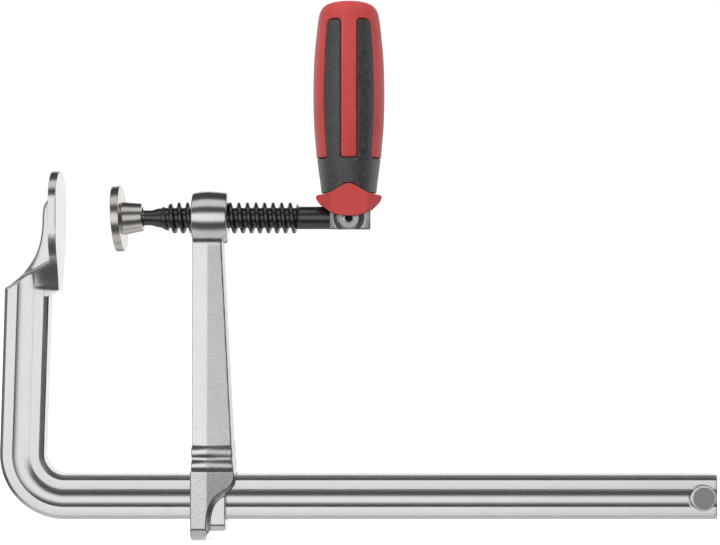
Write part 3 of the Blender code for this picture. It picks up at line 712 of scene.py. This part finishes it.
def make_rail():
    section = rail_section()
    rings = []
    for (x, z), (in_x, in_z), inset in rail_stations():
        across = 1 - inset / (RAIL_HEIGHT / 2)
        deep = 1 - inset / RAIL_HALF_WIDTH
        rings.append([(x + u * across * in_x, v * deep, z + u * across * in_z) for u, v in section])
    rail = skin("rail", rings)

    # The jaw's foot, and the slope where the rolled section ends behind the pad.
    foot = [
        (-0.0002, -0.0100), (-0.0002, PAD_FOOT_Z), (-0.0054, JAW_FLARE_Z), (-0.0078, JAW_FLARE_Z),
        (-0.0098, -0.0290), (-0.0098, -0.0100),
    ]
    combine(rail, prism("foot", foot, RAIL_HALF_WIDTH - 0.00006, FLAT_XZ), "UNION")
    slope = atan2(SLOPE_TOP[1] - SLOPE_FOOT[1], SLOPE_TOP[0] - SLOPE_FOOT[0])
    along = Vector((cos(slope), 0.0, sin(slope)))
    up = Vector((-sin(slope), 0.0, cos(slope)))
    corner = (SLOPE_TOP[0], 0.0, SLOPE_TOP[1])
    place = Matrix([*zip((0.0, 1.0, 0.0), up, along, corner), (0.0, 0.0, 0.0, 1.0)])
    run, drop = 0.0011, 0.0013
    shoulder = [(0.012, -drop - 0.0010), (RAIL_HALF_WIDTH + 0.0009, -drop - 0.0010),
                (RAIL_HALF_WIDTH - 0.0001, -drop), (RAIL_HALF_WIDTH - run, 0.0), (0.0, 0.0)]
    roof = [(0.012, 0.030)] + round_corners(shoulder, 0.0008, 5, closed=False)[:-1]
    roof += [(-across, rise) for across, rise in reversed(roof)]
    cut(rail, prism("slope", roof, 0.070, place))

    # Towards the pad the forging widens to the pad's own width.
    sliced(rail, 0, np.linspace(-0.0190, -0.0010, 19))
    sliced(rail, 2, np.linspace(JAW_FLARE_Z - 0.0010, -0.0170, 29))
    for vertex in rail.data.vertices:
        x, y, z = vertex.co
        share = clamped((x + JAW_FLARE_RUN) / (JAW_FLARE_RUN - PAD_THICKNESS))
        share = share * share * (3 - 2 * share)
        share *= clamped((z - JAW_FLARE_Z) / JAW_FLARE_RISE)
        wide = max(pad_half_width(z) + 0.00012 - RAIL_HALF_WIDTH, 0.0)
        vertex.co.y = y * (1 + share * wide / RAIL_HALF_WIDTH)

    pad_outline = arc((0.0, PAD_CENTRE_Z), PAD_RADIUS, 0, 180, 64)
    pad_outline += [(-y, z) for y, z in PAD_TAPER[1:]] + list(reversed(PAD_TAPER[1:]))
    shift = shifted(x=-PAD_THICKNESS / 2)
    pad = prism("pad", pad_outline, PAD_THICKNESS / 2, shift @ FLAT_YZ)
    front = [(0.0004 - PAD_THICKNESS, z) for z in np.linspace(0.0125, PAD_FOOT_Z, 8)] + [(-0.0150, -0.0400)]
    rib = fin("rib", spread(RIB_BACK, 48), spread(front, 48), RIB_WIDTH / 2, 0.0032, 0.0022)
    jaw = forge(join(pad, rib, rib_fillet()), 0.00028, 4)
    combine(rail, jaw, "UNION")
    for vertex in rail.data.vertices:
        vertex.co.x = max(vertex.co.x, rail_low.x)
    weld(rail)
    return shade(rail, 28)


def make_stop_pin():
    """Riveted pin: two chamfered heads with ground faces."""
    seat = RAIL_HALF_WIDTH + 0.0001
    ledge = STOP_TOP_Y - 0.00022
    upper = [
        (0.0, STOP_TOP_Y), (STOP_FACE - 0.00016, STOP_TOP_Y), (STOP_FACE, STOP_TOP_Y - 0.00006),
        (STOP_FACE + 0.00008, ledge), (STOP_HEAD_RADIUS - 0.00034, ledge - 0.00005),
        (STOP_HEAD_RADIUS - 0.00010, ledge - 0.00016), (STOP_HEAD_RADIUS, ledge - 0.00040),
        (STOP_HEAD_RADIUS, seat), (0.0028, seat),
    ]
    profile = upper + [(radius, -height) for radius, height in reversed(upper)]
    matrix = shifted(x=STOP.x, z=RAIL_CENTRE_Z) @ TURN_TO_Y
    return shade(turned("stop_pin", profile, matrix), 18)


# Sliding arm

WEB_FOOT_Z = -0.1458
WINDOW_PLAY = 0.0004
THREAD_PLAY = 0.00022
SHANK_TOP_Z = -0.0132
EYE_FILLET = 0.0072
WALL_DRAFT = 0.0017
SHANK_FOOT_Z = -0.1030
BEAD_TOPS = (-0.1057, -0.1122)
BEAD_HEIGHT = 0.0056
BEAD_SWELL = 0.00055


def bead_swell(z):
    """How far the two beads stand out of the shank at a height."""
    swell = 0.0
    for top in BEAD_TOPS:
        t = (top - z) / BEAD_HEIGHT
        if 0.0 < t < 1.0:
            swell += BEAD_SWELL * sin(pi * t)
    return swell


def filleted(half, z, eye):
    """Half width of the shank with the fillet that joins it to the round eye."""
    centre = -sqrt((eye + EYE_FILLET) ** 2 - (half + EYE_FILLET) ** 2)
    touch = centre * eye / (eye + EYE_FILLET)
    rise = min(z, touch) - centre
    if rise <= 0.0:
        return half
    return half + EYE_FILLET - sqrt(EYE_FILLET ** 2 - rise ** 2)


def shank_section(z):
    """Six-sided forging section with rounded corners."""
    run = (SHANK_TOP_Z - z) / (SHANK_TOP_Z - SHANK_FOOT_Z)
    swell = bead_swell(z)
    left = 0.0621 - swell / 2
    right = 0.0761 + 0.0047 * run + swell / 2 + 0.0008 * clamped((z + 0.0140) / 0.0045) ** 2
    edge = filleted(0.0070 + 0.0024 * run, z, EYE_RADIUS - 0.0007)
    ridge = filleted(0.0078 + 0.0026 * run, z, EYE_RADIUS - 0.0001)
    foot = clamped((-0.1010 - z) / 0.0140)
    edge += (HEAD_HALF_DEPTH - edge) * foot + swell
    ridge += (HEAD_HALF_DEPTH - ridge) * foot + swell
    half = [(left, edge), (RIDGE_X, ridge), (right, edge)]
    corners = half + [(x, -y) for x, y in reversed(half)]
    radii = [0.0008, 0.0005, 0.0009, 0.0009, 0.0005, 0.0008]
    return [(x, y, z) for x, y in round_corners(corners, radii, 4)]


def make_sliding_arm():
    levels = [*np.linspace(-0.0070, -0.0140, 24), *np.linspace(-0.0150, SHANK_FOOT_Z, 24),
              *np.linspace(-0.1040, -0.1180, 71), -0.1190]
    shank = skin("arm", [shank_section(z) for z in levels])

    middle = sum(EYE_X) / 2
    end = EYE_RADIUS - 0.00075
    face, back = EYE_X
    eye = turned("eye", [
        (0.0, face), (end - 0.0005, face), (end, face + 0.0005), (end, face + 0.0006),
        (EYE_RADIUS - 0.0002, middle - 0.0045), (EYE_RADIUS, RIDGE_X), (EYE_RADIUS - 0.0003, middle + 0.0040),
        (end, back - 0.0006), (end, back - 0.0005), (end - 0.0005, back), (0.0, back),
    ], TURN_TO_X, 128)

    # Slider head: thick cheeks on the left, a recessed web at the lower right.
    left = EYE_X[0] - 0.0004
    s_curve = soften([
        (0.0817, -0.1166), (0.0822, -0.1199), (0.0812, -0.1236), (0.0780, -0.1264), (0.0739, -0.1287),
        (0.0713, -0.1317), (0.0698, -0.1354), (0.0689, -0.1400), (0.0687, HEAD_BOTTOM_Z + 0.0008),
    ], 2)
    bottom = [(0.0681, HEAD_BOTTOM_Z), (left + 0.0008, HEAD_BOTTOM_Z), (left, HEAD_BOTTOM_Z + 0.0008)]
    wall = [(left, -0.1174)] + s_curve + bottom
    drafted = [wall[0]]
    for i, point in enumerate(wall[1:-2], 1):
        tangent = (Vector(wall[i + 1]) - Vector(wall[i - 1])).normalized()
        share = clamped((-0.1190 - point[1]) / 0.0060) * clamped((point[1] + 0.1478) / 0.0016)
        drafted.append((point[0] - tangent.y * WALL_DRAFT * share, point[1] + tangent.x * WALL_DRAFT * share))
    drafted = [(x, max(z, HEAD_BOTTOM_Z)) for x, z in drafted] + wall[-2:]
    broken = [(max(x, left + 0.0007), z) for x, z in wall]
    quarter = [(a[0] + (b[0] - a[0]) / 4, a[1] + (b[1] - a[1]) / 4) for a, b in zip(wall, drafted)]
    levels = [(-HEAD_HALF_DEPTH, broken), (0.0006 - HEAD_HALF_DEPTH, quarter), (-WEB_HALF_DEPTH, drafted)]
    levels += [(-y, outline) for y, outline in reversed(levels)]
    cheek = skin("cheek", [[(x, y, z) for x, z in outline] for y, outline in levels])
    web = prism("web", [
        (left + 0.0002, -0.1176), (0.0815, -0.1176), (0.0819, -0.1199), (0.0800, -0.1239), (0.0778, -0.1262),
        (0.0778, WEB_FOOT_Z + 0.0006), (0.0771, WEB_FOOT_Z), (left + 0.0002, WEB_FOOT_Z),
    ], WEB_HALF_DEPTH, FLAT_XZ, 0.0005)

    # The head's lower front and back edges are broken by wide bevels.
    for piece, depth, foot, width, height in (
        (cheek, HEAD_HALF_DEPTH, HEAD_BOTTOM_Z, 0.0030, 0.0052),
        (web, WEB_HALF_DEPTH, WEB_FOOT_Z, 0.0017, 0.0029),
    ):
        for side in (1, -1):
            wedge = [
                (side * (depth + 0.0010), foot + height + 0.0010 * height / width),
                (side * (depth + 0.0010), foot - 0.0010),
                (side * (depth - width - 0.0010 * width / height), foot - 0.0010),
            ]
            cut(piece, prism("bevel_cut", wedge, 0.020, shifted(x=0.0700) @ FLAT_YZ))

    arm = forge(join(shank, eye, cheek, web), 0.00038, 3)
    half_width = RAIL_HALF_WIDTH + WINDOW_PLAY
    window = cube("rail_window", (0.050, -half_width, RAIL_BOTTOM_Z - WINDOW_PLAY),
                  (0.095, half_width, RAIL_TOP_Z + WINDOW_PLAY))
    cut(arm, window)
    bore = thread_surface("bore", 0.0574, 0.0836, 0.0002, lambda x, a: thread_radius(x, a) + THREAD_PLAY)
    cut(arm, bore)
    for vertex in arm.data.vertices:
        vertex.co.z = max(vertex.co.z, HEAD_BOTTOM_Z)
    return shade(arm, 40)


# Spindle

def thread_radius(x, angle):
    """Right-hand trapezoidal thread with rounded crests; the angle starts at +Z."""
    offset = (x - THREAD_PHASE_X - PITCH * angle / tau) / PITCH
    distance = abs(offset - round(offset)) * PITCH
    flank = PITCH / 2 - ROOT_HALF_WIDTH - CREST_HALF_WIDTH
    t = clamped((PITCH / 2 - ROOT_HALF_WIDTH - distance) / flank)
    t = 0.55 * t + 0.45 * t * t * (3 - 2 * t)
    return ROOT_RADIUS + (CREST_RADIUS - ROOT_RADIUS) * t


def thread_surface(name, start, end, step, radius_at, segments=96):
    """A turned body whose radius changes with both place and angle, closed at both ends."""
    count = max(2, round((end - start) / step) + 1)
    rings = []
    for x in np.linspace(start, end, count):
        ring = []
        for j in range(segments):
            angle = tau * j / segments
            radius = radius_at(x, angle)
            # The helix advances along +X as it turns from +Z towards -Y: a right-hand thread.
            ring.append((x, -radius * sin(angle), radius * cos(angle)))
        rings.append(ring)
    return skin(name, rings)


def spindle_radius(x, angle):
    envelope = ((0.0466, 0.0024), (0.0474, 0.0049), (0.0528, 0.0073), (0.0532, 0.0076),
                (THREAD_END_X - 0.0018, 0.0076), (THREAD_END_X - 0.0002, SHANK_RADIUS - 0.0002),
                (THREAD_END_X, 0.0030))
    core = ((0.0425, NECK_RADIUS), (0.0458, 0.0045), (0.0490, ROOT_RADIUS - 0.0001),
            (THREAD_END_X - 0.0020, ROOT_RADIUS - 0.0001), (THREAD_END_X - 0.0010, SHANK_RADIUS),
            (0.1262, SHANK_RADIUS))
    thread = min(thread_radius(x, angle), value_at(x, envelope))
    return max(value_at(x, core), thread if x > envelope[0][0] else 0.0)


def make_spindle():
    """Neck, threaded length and shank as one turned skin, with the ball and the fork joined on."""
    body = thread_surface("spindle_screw", 0.0380, 0.1262, 0.000125, spindle_radius)
    groove_x = BALL_X + sqrt(BALL_RADIUS ** 2 - GROOVE_RADIUS ** 2)
    last = degrees(acos((groove_x - BALL_X) / BALL_RADIUS))
    ball = arc((BALL_X, 0.0), BALL_RADIUS, last, 180, 24)
    behind_ring = RING_X + RING_WIRE + 0.0003
    profile = [(0.0, 0.0390), (NECK_RADIUS, 0.0390), (NECK_RADIUS, behind_ring)]
    profile += [(GROOVE_RADIUS, behind_ring)] + [(max(r, 0.0), x) for x, r in ball]
    profile[-1] = (0.0, BALL_X - BALL_RADIUS)
    combine(body, turned("ball", profile, TURN_TO_X, 96), "UNION")

    # Fork: a round boss about the pin, with a sunk ring between it and the block's ends.
    outline = rectangle((FORK_X[0], -FORK_HALF_HEIGHT), (FORK_X[1], FORK_HALF_HEIGHT))
    fork = prism("fork", outline, FORK_HALF_WIDTH, FLAT_XZ, 0.0005)
    for side in (1, -1):
        face = FORK_HALF_WIDTH + 0.0002
        valley = [(0.0043, face), (0.0062, face - 0.0012), (0.0066, face - 0.0012), (0.0073, face)]
        ring = turned("valley", [(r, side * y) for r, y in valley], AT_PIVOT @ TURN_TO_Y, 96, ring=True)
        cut(fork, ring)
    combine(body, fork, "UNION")
    slot = cube("fork_slot", (FORK_FLOOR_X, -FORK_SLOT_HALF, -0.0100),
                (FORK_X[1] + 0.0020, FORK_SLOT_HALF, 0.0100))
    cut(body, slot)
    cut(body, cylinder("pin_hole", PIN_RADIUS + 0.0003, 0.02))
    return shade(body, 32)


def make_pivot_pin():
    """Slotted spring pin: a rolled tube with an open slit and chamfered ends."""
    half = FORK_HALF_WIDTH - 0.0001
    slit = 14.0
    wall = 0.0006
    outline = arc((0.0, 0.0), PIN_RADIUS, 90 + slit, 450 - slit, 48)
    outline += arc((0.0, 0.0), PIN_RADIUS - wall, 450 - slit, 90 + slit, 48)
    pin = prism("pivot_pin", outline, half, AT_PIVOT @ FLAT_XZ, 0.00018, 2)
    # A plug closes the tube's bore; with the near-black middle set in spring_pin_steel it is a painted shade
    # for the dark inside of the bore.
    combine(pin, cylinder("pin_core", PIN_RADIUS - wall + 0.0001, 0.004), "UNION")
    return shade(pin, 40)


# Pressure plate

def make_pressure_plate():
    boss_base, boss_end = BOSS_RADII
    lip = PLATE_MOUTH - 0.0006
    profile = arc((0.0, 0.0), SOCKET_RADIUS, -90, 0, 16)
    profile[0] = (0.0, -SOCKET_RADIUS)
    outer = [
        (SOCKET_RADIUS, lip), (MOUTH_RADIUS, lip), (MOUTH_RADIUS, PLATE_MOUTH),
        (boss_end, PLATE_MOUTH), (boss_base, PLATE_SHOULDER), (PLATE_RADIUS, PLATE_SHOULDER),
        (PLATE_RADIUS, PLATE_FACE), (0.0, PLATE_FACE),
    ]
    radii = [0.0, 0.0, 0.0002, 0.0005, 0.0007, 0.0005, 0.0006, 0.0]
    profile += round_corners(outer, radii, 4, closed=False)
    tilt = Matrix.Rotation(-PLATE_TILT, 4, "Y")
    plate = turned("swivel_plate", profile, shifted(x=BALL_X) @ tilt @ TURN_TO_X, 128)
    return shade(plate, 24)


def make_retaining_ring():
    centre = RING_OUTER - RING_WIRE
    wire = arc((centre, 0.0), RING_WIRE, 90, -270, 16)[:-1]
    matrix = shifted(x=RING_X) @ TURN_TO_X
    return shade(turned("wire_ring", wire, matrix, 72, ring=True), 60)


# Handle

def barrel_profile():
    """(radius, height) up the barrel, smoothed."""
    return [(radius, height) for height, radius in soften(BARREL, 2)]


def barrel_radius(height):
    return value_at(height, soften(BARREL, 2))


def finger_outline(play):
    """The front finger: straight sides, rounded foot, flaring into the dome at the top."""
    half = FINGER_HALF_WIDTH - play
    foot = FINGER_FOOT + play
    flare = 0.0016 + play
    right = arc((half - 0.0010, foot + 0.0010), 0.0010, -90, 0, 6)
    top = GRIP_TOP + play
    right += arc((half + flare, top - flare), flare, 180, 90, 8)
    right += [(half + flare, top + 0.014)]
    return right + [(-x, z) for x, z in reversed(right)]


def panel_spread(height, play):
    """Half angle of a side panel: rounded foot corners, and a flare under the dome."""
    radius = barrel_radius(min(height, GRIP_TOP))
    width = radius * PANEL_HALF_ANGLE - play
    low = max(FINGER_FOOT + play + 0.0011 - height, 0.0)
    width -= 0.0011 - sqrt(max(0.0011 ** 2 - low ** 2, 0.0))
    flare = 0.0030 + play
    high = min(max(height - (GRIP_TOP + play - flare), 0.0), flare)
    width += flare - sqrt(max(flare ** 2 - high ** 2, 0.0))
    return width / radius


def panel_wedge(name, side, play):
    """The space of one side panel, with walls square to the barrel's surface."""
    foot = FINGER_FOOT + play
    levels = list(foot + 0.0011 * (1 - np.cos(np.linspace(0.0, pi / 2, 7))))
    levels += list(np.linspace(foot + 0.0016, GRIP_TOP - 0.0034, 40))
    levels += list(GRIP_TOP + play - (0.0030 + play) * (1 - np.sin(np.linspace(0.0, pi / 2, 12))))
    rings = []
    for height in levels + [GRIP_TOP + 0.0100]:
        half = panel_spread(height, play)
        turns = [half * (i / 6 - 1) for i in range(13)]
        walls = [(0.024, t) for t in turns] + [(0.005, t) for t in reversed(turns)]
        rings.append([(side * r * cos(t), side * r * sin(t), height) for r, t in walls])
    return skin(name, rings, AT_PIVOT)


def grip_region(name, play, steps):
    """The soft grip's space: a sleeve left open for the core's fingers and panels."""
    outer = [(barrel_radius(z) + play, z) for z in np.linspace(GRIP_FOOT, GRIP_TOP, 60)]
    inner = [(radius - GRIP_DEPTH - 2 * play, z) for radius, z in outer]
    for wall in (outer, inner):
        wall[0] = (wall[0][0], GRIP_FOOT - play)
        wall[-1] = (wall[-1][0], GRIP_TOP + play)
    sleeve = turned(name, inner + list(reversed(outer)), AT_PIVOT, steps, ring=True)
    cut(sleeve, prism("finger_cut", finger_outline(play), 0.030, AT_PIVOT @ FLAT_XZ))
    for side in (1, -1):
        cut(sleeve, panel_wedge("panel_cut", side, play))
    return sleeve


def fork_sweep(name, play):
    """The space that the fork turns in, open to both sides for the spindle's shank."""
    shank_top = FORK_HALF_HEIGHT + 0.0003
    radius = FORK_SWEEP_RADIUS + play
    reach = degrees(asin(shank_top / radius))
    roof = [(0.030, -0.010), (0.030, shank_top)]
    roof += arc((0.0, 0.0), radius, reach, 180 - reach, 48)
    roof += [(-0.030, shank_top), (-0.030, -0.010)]
    return prism(name, roof, FORK_HALF_WIDTH + 0.0003 + play, AT_PIVOT @ FLAT_XZ)


def tang_pocket(top):
    """The space of the tongue's tang, from the pivot up to a height."""
    wide, deep = TANG_HALF + 0.0003, TONGUE_HALF_WIDTH + 0.0003
    return cube("tang_pocket", (PIVOT_X - wide, -deep, 0.0), (PIVOT_X + wide, deep, top))


def make_core():
    core = turned("core", [(0.0, GRIP_FOOT)] + barrel_profile(), AT_PIVOT, 160)
    cut(core, grip_region("core_recess", 0.00018, 200))
    cut(core, tang_pocket(TANG_TOP + 0.0010))
    cut(core, fork_sweep("core_roof", 0.0003))
    return shade(forge(core, 0.00040, 2))


def make_grip():
    grip = grip_region("grip", -0.00012, 176)
    outline = [(x, z + 0.0003) for x, z in shield_outline()]
    for side in (1, -1):
        shift = shifted(y=side * (COLLAR_SEAT_DEPTH - 0.0003 + 0.005))
        cut(grip, prism("gable_pocket", outline, 0.005, shift @ AT_PIVOT @ FLAT_XZ))
    return shade(forge(grip, 0.00034, 2))


def shield_outline():
    """The collar seen from the front: a gable over a rounded foot."""
    gable = [
        (0.0, 0.0157), (0.0024, 0.0151), (0.0052, 0.0133), (0.0077, 0.0117), (0.0106, 0.0109),
        (0.0148, 0.0103),
    ]
    foot = [
        (COLLAR_WING, 0.0095), (0.0150, 0.0080), (0.0134, 0.0062),
        (0.0107, 0.0039), (0.0079, 0.0021), (0.0052, 0.0011), (0.0, 0.0006),
    ]
    half = soften(gable, 1) + soften(foot, 2)
    return half + [(-x, z) for x, z in reversed(half[1:-1])]


def make_collar():
    """Shield-shaped collar: two faceted cheeks that straddle the fork."""
    collar = prism("collar", shield_outline(), COLLAR_HALF_DEPTH, AT_PIVOT @ FLAT_XZ)
    facets = [(COLLAR_FACET, COLLAR_HALF_DEPTH), (COLLAR_WING + 0.0002, COLLAR_SIDE_DEPTH)]
    facets += [(x, -y) for x, y in reversed(facets)]
    facets += [(-x, -y) for x, y in facets]
    lift = shifted(x=PIVOT_X)
    combine(collar, prism("collar_facets", facets, 0.030, lift), "INTERSECT")
    seat = cube("grip_seat", (PIVOT_X - 0.020, -COLLAR_SEAT_DEPTH, COLLAR_TOP),
                (PIVOT_X + 0.020, COLLAR_SEAT_DEPTH, 0.020))
    cut(collar, seat)
    cut(collar, fork_sweep("collar_roof", 0.0))
    cut(collar, tang_pocket(0.020))
    return shade(forge(collar, 0.00022, 2))


def make_tongue():
    """Flat steel tongue: an eye on the pivot pin and a tang moulded into the handle."""
    rise = degrees(asin(TANG_HALF / TONGUE_EYE_RADIUS))
    outline = arc((0.0, 0.0), TONGUE_EYE_RADIUS, 90 + rise, 450 - rise, 48)
    outline += [(TANG_HALF, TANG_TOP), (-TANG_HALF, TANG_TOP)]
    tongue = prism("tongue", outline, TONGUE_HALF_WIDTH, AT_PIVOT @ FLAT_XZ, 0.0004)
    cut(tongue, cylinder("tongue_hole", PIN_RADIUS + 0.0002, 0.01))
    return shade(tongue, 32)


# Camera, floor and light

def make_camera():
    data = bpy.data.cameras.new("camera")
    data.lens = 82.1
    data.sensor_width = 36.0
    camera = linked("camera", data)
    camera.location = (0.1402, -0.770, -0.0256)
    camera.rotation_euler = (radians(90), 0.0, 0.0)
    scene.camera = camera


def make_floor():
    half = 4.0
    z = cad_box[0][2] - 0.0005
    corners = [(-half, -half, z), (half, -half, z), (half, half, z), (-half, half, z)]
    floor = mesh_object("floor", corners, [(0, 1, 2, 3)])
    g = new_material("pale_floor")
    colour = g.mix(g.noise(g.local_point(), 3.0, 2.0, 0.5), (0.86, 0.86, 0.86), (0.90, 0.90, 0.90))
    floor.data.materials.append(g.finish(
        colour, 0.9, Specular_IOR_Level=0.1, Emission_Color=(1.0, 1.0, 1.0, 1.0), Emission_Strength=0.62,
    ))
    floor.visible_glossy = False
    floor.visible_diffuse = False


def area_light(name, location, size, power):
    """A disk aimed at the middle of the object; metal mirrors the world and not the lamps."""
    data = bpy.data.lights.new(name, "AREA")
    data.shape = "DISK"
    data.size = size
    data.energy = power
    light = linked(name, data)
    light.location = location
    aim = Vector((0.13, 0.0, -0.03)) - Vector(location)
    light.rotation_euler = aim.to_track_quat("-Z", "Y").to_euler()
    light.visible_glossy = False
    light.visible_camera = False


def make_world():
    """A studio of soft bright and dark bands for the metal to mirror; the lens sees plain white."""
    g = Graph(bpy.data.worlds.new("studio"))
    scene.world = g.owner
    g.tree.nodes.clear()
    x, y, z = g.split(g.node("TexCoord").outputs["Generated"])
    forward = g.product(y, -1.0)
    upright, around, height = (
        g.ramp(angle, 0.0, 1.0, -pi, pi)
        for angle in (g.math("ARCTAN2", z, forward), g.math("ARCTAN2", x, forward), g.math("ARCSINE", z))
    )
    bands = g.greys(upright, (
        (-180, 1), (-164, 1), (-156, 0.3), (-140, 0.3), (-128, 0.65), (-68, 0.65), (-58, 0.42),
        (-50, 0.10), (-22, 0.06), (-12, 1), (14, 1), (24, 0.07), (45, 0.05), (53, 0.72), (80, 0.72),
        (88, 0.06), (138, 0.06), (150, 1), (180, 1),
    ))
    sides = g.greys(height, (
        (-90, 0.75), (-60, 0.75), (-50, 0.4), (-40, 0.15), (-22, 0.15), (-12, 1), (14, 1),
        (25, 0.2), (44, 0.2), (52, 1), (70, 1), (80, 0.3),
    ))
    card = g.greys(around, (
        (-180, 1), (-108, 1), (-92, 0.14), (-70, 0.10), (-58, 1), (4, 1), (14, 0.92), (27, 0.40),
        (35, 0.03), (76, 0.03), (88, 1), (180, 1),
    ))
    poles = g.ramp(g.math("ABSOLUTE", x), 0.0, 1.0, 0.55, 0.85)
    low = g.ramp(g.math("ABSOLUTE", z), 1.0, 0.0, 0.25, 0.60)
    carded = g.mix(low, g.mix(poles, bands, sides), card, blend_type="MULTIPLY")

    # Matt surfaces see a plain room, brightest overhead.
    soft = g.greys(height, ((-90, 0.12), (-30, 0.30), (0, 0.75), (40, 1.0), (90, 1.0)))
    ray = g.node("LightPath").outputs
    mirrored, matt, plain = (
        g.node("Background", {"Color": colour, "Strength": strength}).outputs[0]
        for colour, strength in ((carded, 1.05), (soft, 0.74), ((1.0, 1.0, 1.0, 1.0), 1.05))
    )
    lit = g.node("MixShader", {0: ray["Is Diffuse Ray"], 1: mirrored, 2: matt}).outputs[0]
    seen = g.node("MixShader", {0: ray["Is Camera Ray"], 1: lit, 2: plain}).outputs[0]
    g.node("OutputWorld", {"Surface": seen})


# Assembly

def finish_piece(obj, material, body, slot, *nodes):
    obj.data.materials.clear()
    obj.data.materials.append(material)
    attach(obj, body)
    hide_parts(*nodes)


def main():
    make_camera()
    make_floor()
    make_world()
    area_light("key", (-0.22, -0.95, 0.70), 0.6, 7.0)
    area_light("fill", (0.55, -0.95, 0.35), 0.8, 0.6)
    area_light("back", (0.20, 0.95, 0.60), 0.8, 4.0)
    scene.view_settings.view_transform = "Standard"

    across = (0.0, 1.0, 0.0)
    stop_steel = turned_metal(
        "pin_ground_steel", (0.74, 0.74, 0.745), (0.84, 0.84, 0.845), (STOP.x, 0.0, RAIL_CENTRE_Z), across,
        (0.24, 0.36), (STOP_FACE, (0.30, 0.30, 0.305)),
    )
    black = black_steel("black_oxide_steel", (0.105, 0.103, 0.107), (0.28, 0.28, 0.285), (0.46, 0.46, 0.465))
    # The near-black middle is a painted shade inside the pin's bore.
    pin_steel = turned_metal(
        "spring_pin_steel", (0.55, 0.55, 0.56), (0.70, 0.70, 0.71), (PIVOT_X, 0.0, 0.0), across,
        inner=(0.00196, (0.012, 0.012, 0.013)),
    )
    nickel = turned_metal(
        "plate_bright_nickel", (0.66, 0.63, 0.60), (0.74, 0.71, 0.68), (BALL_X, 0.0, 0.0),
        (cos(PLATE_TILT), 0.0, sin(PLATE_TILT)), (0.20, 0.28),
    )
    wire_steel = turned_metal(
        "ring_steel", (0.45, 0.45, 0.46), (0.55, 0.55, 0.56), (RING_X, 0.0, 0.0), (1.0, 0.0, 0.0),
    )
    tongue_steel = black_steel("tongue_dark_steel", (0.13, 0.13, 0.132), (0.25, 0.25, 0.255))
    red = red_plastic()
    finish_piece(make_rail(), rail_steel(), "frame", "bright_steel", "rail_and_fixed_jaw")
    finish_piece(make_stop_pin(), stop_steel, "frame", "pin_steel", "rail_stop_pin")
    finish_piece(make_sliding_arm(), forged_steel(), "arm", "bright_steel", "sliding_arm")
    finish_piece(make_spindle(), black, "screw", "black_steel", "spindle")
    finish_piece(make_pivot_pin(), pin_steel, "screw", "pin_steel", "handle_pivot_pin")
    finish_piece(make_pressure_plate(), nickel, "plate", "plate_nickel", "pressure_plate")
    finish_piece(make_retaining_ring(), wire_steel, "swivel_ring", "pin_steel", "plate_retaining_ring")
    finish_piece(make_tongue(), tongue_steel, "handle", "tongue_steel", "handle_tongue")
    finish_piece(make_core(), red, "handle", "red_plastic", "handle_core")
    finish_piece(make_grip(), soft_black(), "handle", "soft_grip", "handle_soft_grip")
    finish_piece(make_collar(), red, "handle", "red_plastic", "handle_collar")


main()
